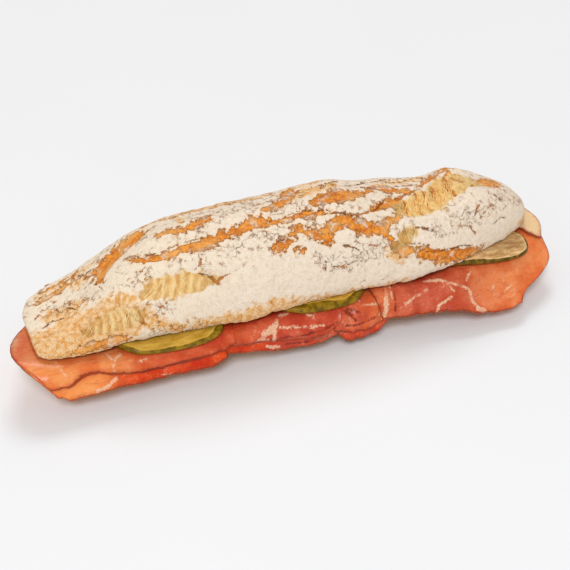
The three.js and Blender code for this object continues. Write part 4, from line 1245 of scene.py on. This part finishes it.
def make_gherkin(name, material):
    """A long slice with a rounded rim, bent over the ham: rings of points round two centres."""
    form = GHERKINS[name]
    sectors, rings, rings_crowd_at_rim = 120, 22, 1.7
    blunt, rim_width, rim_power = 2.5, 1.3, 2.4
    shares = 1 - (1 - np.arange(1, rings + 1) / rings) ** rings_crowd_at_rim
    angle = np.linspace(0, 2 * math.pi, sectors, endpoint=False)
    radius, angle = np.meshgrid(shares, angle, indexing="ij")
    full_x = form["length"] / 2 * rounded(np.cos(angle), blunt)
    full_y = form["width"] / 2 * rounded(np.sin(angle), blunt)
    px, py = full_x * radius, full_y * radius
    turn = math.radians(GHERKIN_TURN)
    x = form["x"] + px * math.cos(turn) - py * math.sin(turn)
    reach = form["reach"] + px * math.sin(turn) + py * math.cos(turn)
    inset = (1 - radius) * np.hypot(full_x, full_y)
    below = FIRST_LAYER + (form["layers"] - 1) * LAYER_PITCH + HAM_THICKNESS / 2 + GHERKIN_GAP
    half = GHERKIN_THICKNESS / 2
    uneven = rough(flat_places(x, reach), [(0.14, 5, 61), (0.07, 2.2, 62)])
    sunk_seeds = 0.3 * ramp(inset, 4, 7)
    thick = half * (1 - np.clip(1 - inset / rim_width, 0, 1) ** rim_power) ** 0.5
    sheets = []
    for side in (1, -1):
        lift = below + half + side * thick + (uneven - sunk_seeds if side > 0 else 0)
        y, z = drape(x, reach, lift, GHERKIN_DROOP)
        sheets.append(np.stack([x, y, z], -1))
    centre_y, centre_z = drape(np.array([form["x"]] * 2), np.array([form["reach"]] * 2),
                               below + np.array([2 * half - 0.3, 0]), GHERKIN_DROOP)
    centres = np.stack([[form["x"]] * 2, centre_y, centre_z], -1)
    # the upper face's rings, then the lower face's without the rim that both share
    top, bottom = sheets[0], sheets[1][:-1]
    points = np.concatenate([centres, top.reshape(-1, 3), bottom.reshape(-1, 3)])
    upper = (2 + np.arange(rings * sectors)).reshape(rings, sectors).tolist()
    lower = (upper[-1][-1] + 1 + np.arange((rings - 1) * sectors)).reshape(-1, sectors).tolist()
    lower.append(upper[-1])
    faces = []
    for k in range(sectors):
        n = (k + 1) % sectors
        faces.append((0, upper[0][k], upper[0][n]))
        faces.append((1, lower[0][n], lower[0][k]))
        for i in range(rings - 1):
            faces.append((upper[i][k], upper[i + 1][k], upper[i + 1][n], upper[i][n]))
            faces.append((lower[i][k], lower[i][n], lower[i + 1][n], lower[i + 1][k]))
    left_skin, right_skin = form["skin"]
    into_flesh = inset - mixed(left_skin, right_skin, ramp(px, 4, 14))
    # painted shade on the half nearer the bread
    shaded = form["shade"] * (1 - ramp(py, 2.5, 8))
    bright = form["bright"] * ramp(px, 17, 25)
    marks = {}
    for mark, at_centre, values in (("inset", 9, into_flesh), ("shade", 0.5, shaded),
                                    ("bright", 0, bright)):
        marks[mark] = np.concatenate([[at_centre] * 2, values.ravel(), values[:-1].ravel()])
    return piece_from(name.replace("gherkin", "pickle"), points, faces, marks, material)


# Small pieces placed by node trees.
# Pulled crumb across the torn places: the band, how many threads, their lean and radius in mm.
THREAD_FIELDS = [
    (CRUMB_BANDS[0], 16, 3.0, 0.26),
    (CRUMB_BANDS[1], 14, 5.0, 0.26),
    (CRUMB_BANDS[3], 22, 4.0, 0.42),
]


def new_node_tree(name, defaults):
    """An empty geometry tree with these named inputs and the value each starts with."""
    tree = bpy.data.node_groups.new(name, "GeometryNodeTree")
    tree.interface.new_socket("Base", in_out="INPUT", socket_type="NodeSocketGeometry")
    for label, value in defaults.items():
        kind = "NodeSocketInt" if isinstance(value, int) else "NodeSocketFloat"
        socket = tree.interface.new_socket(label, in_out="INPUT", socket_type=kind)
        socket.default_value = value
    tree.interface.new_socket("Grown", in_out="OUTPUT", socket_type="NodeSocketGeometry")
    return tree, tree.nodes.new("NodeGroupInput").outputs


def grown_piece(name, base, tree, settings):
    """Runs a tree on a mesh and keeps what it makes as a plain mesh."""
    piece = bpy.data.objects.new(name, base)
    bpy.context.scene.collection.objects.link(piece)
    modifier = piece.modifiers.new("grow", "NODES")
    modifier.node_group = tree
    for item in tree.interface.items_tree:
        if item.name in settings:
            modifier[item.identifier] = settings[item.name]
    bpy.context.view_layer.update()
    grown = piece.evaluated_get(bpy.context.evaluated_depsgraph_get())
    plain = bpy.data.meshes.new_from_object(grown)
    piece.modifiers.clear()
    piece.data = plain
    return piece


def flour_grain_tree(material):
    """Grains strewn over the flour coat, thinner where the crust is bare."""
    settings = {"Grains per m2": 1000.0, "Radius": 0.0002, "Seed": 0}
    tree, given = new_node_tree("flour_grains", settings)
    bare = add(tree, "GeometryNodeInputNamedAttribute", Name="bare", data_type="FLOAT")
    floured = add(tree, "MapRange", bare, 0.6, -0.6)
    density = add(tree, "Math", floured, given["Grains per m2"], **TIMES)
    spots = add(tree, "GeometryNodeDistributePointsOnFaces", Mesh=given["Base"],
                Density=density, Seed=given["Seed"])
    grain = add(tree, "GeometryNodeMeshIcoSphere", Radius=given["Radius"], Subdivisions=1)
    sizes = add(tree, "FunctionNodeRandomValue", 0.5, 1.4, data_type="FLOAT")
    grains = add(tree, "GeometryNodeInstanceOnPoints", Points=spots, Instance=grain,
                 Scale=sizes)
    grains = add(tree, "GeometryNodeRealizeInstances", grains)
    grains = add(tree, "GeometryNodeSetMaterial", Geometry=grains, Material=material)
    add(tree, "NodeGroupOutput", grains)
    return tree


def crumb_thread_tree(material):
    """Round threads along the base mesh's lines, thinner towards their ends."""
    tree, given = new_node_tree("crumb_threads", {"Radius": 0.0003, "Sides": 6})
    paths = add(tree, "GeometryNodeMeshToCurve", Mesh=given["Base"])
    share = add(tree, "GeometryNodeSplineParameter")
    rest = add(tree, "Math", 1.0, share, **LESS)
    swell = add(tree, "Math", share, rest, **TIMES)
    thick = add(tree, "MapRange", swell, 0.0, 0.2, 0.35, 1.0)
    own = add(tree, "GeometryNodeInputNamedAttribute", Name="thick", data_type="FLOAT")
    thick = add(tree, "Math", thick, own, **TIMES)
    outline = add(tree, "GeometryNodeCurvePrimitiveCircle", Radius=given["Radius"],
                  Resolution=given["Sides"])
    threads = add(tree, "GeometryNodeCurveToMesh", Curve=paths, Profile_Curve=outline,
                  Scale=thick, Fill_Caps=True)
    threads = add(tree, "GeometryNodeRealizeInstances", threads)
    threads = add(tree, "GeometryNodeSetMaterial", Geometry=threads, Material=material)
    add(tree, "NodeGroupOutput", threads)
    return tree


def thread_lines(surface, normals, up):
    """One line for each thread, across its torn place and bulging a little out of it."""
    rng = np.random.default_rng(17)
    stations = surface[:, up.shape[1] // 2, 0]
    points, edges, thick = [], [], []
    for band, number, lean, radius in THREAD_FIELDS:
        first, last = band[0][0], band[-1][0]
        for _ in range(number):
            middle_x = rng.uniform(first + 1, last - 1)
            own_lean = lean * rng.uniform(0.5, 1.4)
            reach = rng.uniform(0.6, 0.95)
            bulge = rng.uniform(0.1, 0.8)
            own = radius * rng.uniform(0.5, 1.4)
            for step, share in enumerate(np.linspace(-reach, reach, 9)):
                x = middle_x + own_lean * share + rng.normal(0, 0.15)
                height, half = along(band, x)
                column = int(np.argmin(np.abs(stations - x)))
                place = np.interp(height + half * share, up[column], np.arange(up.shape[1]))
                row = int(place)
                part = place - row
                on_crust = mixed(surface[column, row], surface[column, row + 1], part)
                out = bulge * (1 - (share / reach) ** 2) - 0.15
                points.append(on_crust + normals[column, row] * out)
                thick.append(own)
                if step:
                    edges.append((len(points) - 2, len(points) - 1))
    base = bpy.data.meshes.new("thread_lines")
    base.from_pydata((np.array(points) / 1000).tolist(), edges, [])
    base.attributes.new("thick", "FLOAT", "POINT").data.foreach_set("value", thick)
    return base


# Building it.

crust_finish = floured_crust()
ham_finish = cured_ham()
green_gherkin = pickled_gherkin("green_gherkin", "#6A5204", "#9A7A10", "#B88C2A", "#DCB44E")
tan_gherkin = pickled_gherkin("tan_gherkin", "#524408", "#84681A", "#B88A50", "#F4CE96")

upper_loaf, crust, crust_normals, crust_up = make_upper_loaf(crust_finish)
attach(upper_loaf, "root")
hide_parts("bread_upper")

grains = flour_grain_tree(wheat_flour())
grain_settings = {"Grains per m2": 110000.0, "Radius": 0.00024, "Seed": 5}
flour = grown_piece("flour_grains", upper_loaf.data, grains, grain_settings)
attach(flour, "root")

threads = crumb_thread_tree(pulled_crumb())
lines = thread_lines(crust, crust_normals, crust_up)
crumb = grown_piece("crumb_threads", lines, threads, {"Radius": 0.001, "Sides": 6})
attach(crumb, "root")

lower_loaf = make_lower_loaf(crust_finish)
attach(lower_loaf, "root")
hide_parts("bread_lower")

for node in HAM_SLICES:
    piece = make_ham_slice(node, ham_finish)
    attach(piece, "root")
    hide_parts(node)

for node in GHERKINS:
    finish = tan_gherkin if node == "gherkin_right" else green_gherkin
    piece = make_gherkin(node, finish)
    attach(piece, "root")
    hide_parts(node)

# Table, light and camera.

bpy.ops.mesh.primitive_plane_add(size=6, location=(0, 0, 0))
floor = bpy.context.active_object
floor.name = "table_top"
floor.data.materials.append(matt_laminate())

world = bpy.data.worlds.new("soft_room")
bpy.context.scene.world = world
world.use_nodes = True
world.node_tree.nodes["Background"].inputs["Color"].default_value = paint("#FFF1E4")
world.node_tree.nodes["Background"].inputs["Strength"].default_value = 0.48


def soft_box(name, place, aim, size, watts, colour):
    """A round lamp at a place, turned to what it lights."""
    light = bpy.data.lights.new(name, "AREA")
    light.shape = "DISK"
    light.size = size
    light.energy = watts
    light.color = paint(colour)[:3]
    lamp = bpy.data.objects.new(name, light)
    bpy.context.scene.collection.objects.link(lamp)
    lamp.location = place
    lamp.rotation_euler = (Vector(aim) - Vector(place)).to_track_quat("-Z", "Y").to_euler()


LAMP_AIM = (0, 0, 0.03)
LAMP_COLOUR = "#F6FAFF"
soft_box("window_light", (0.7, 2.0, 3.0), LAMP_AIM, 1.6, 40.0, LAMP_COLOUR)
soft_box("lamp_in_front", (-0.9, -1.9, 2.3), LAMP_AIM, 1.0, 51.0, LAMP_COLOUR)

camera_data = bpy.data.cameras.new("camera")
camera_data.lens = 85
camera_data.sensor_width = 36
camera_data.clip_start = 0.01
camera = bpy.data.objects.new("camera", camera_data)
bpy.context.scene.collection.objects.link(camera)
camera.location = (-0.221817, -0.550167, 0.448654)
camera_aim = Vector((-0.00077, 0, 0.01788)) - camera.location
camera.rotation_euler = camera_aim.to_track_quat("-Z", "Y").to_euler()
bpy.context.scene.camera = camera
bpy.context.scene.view_settings.view_transform = "Standard"
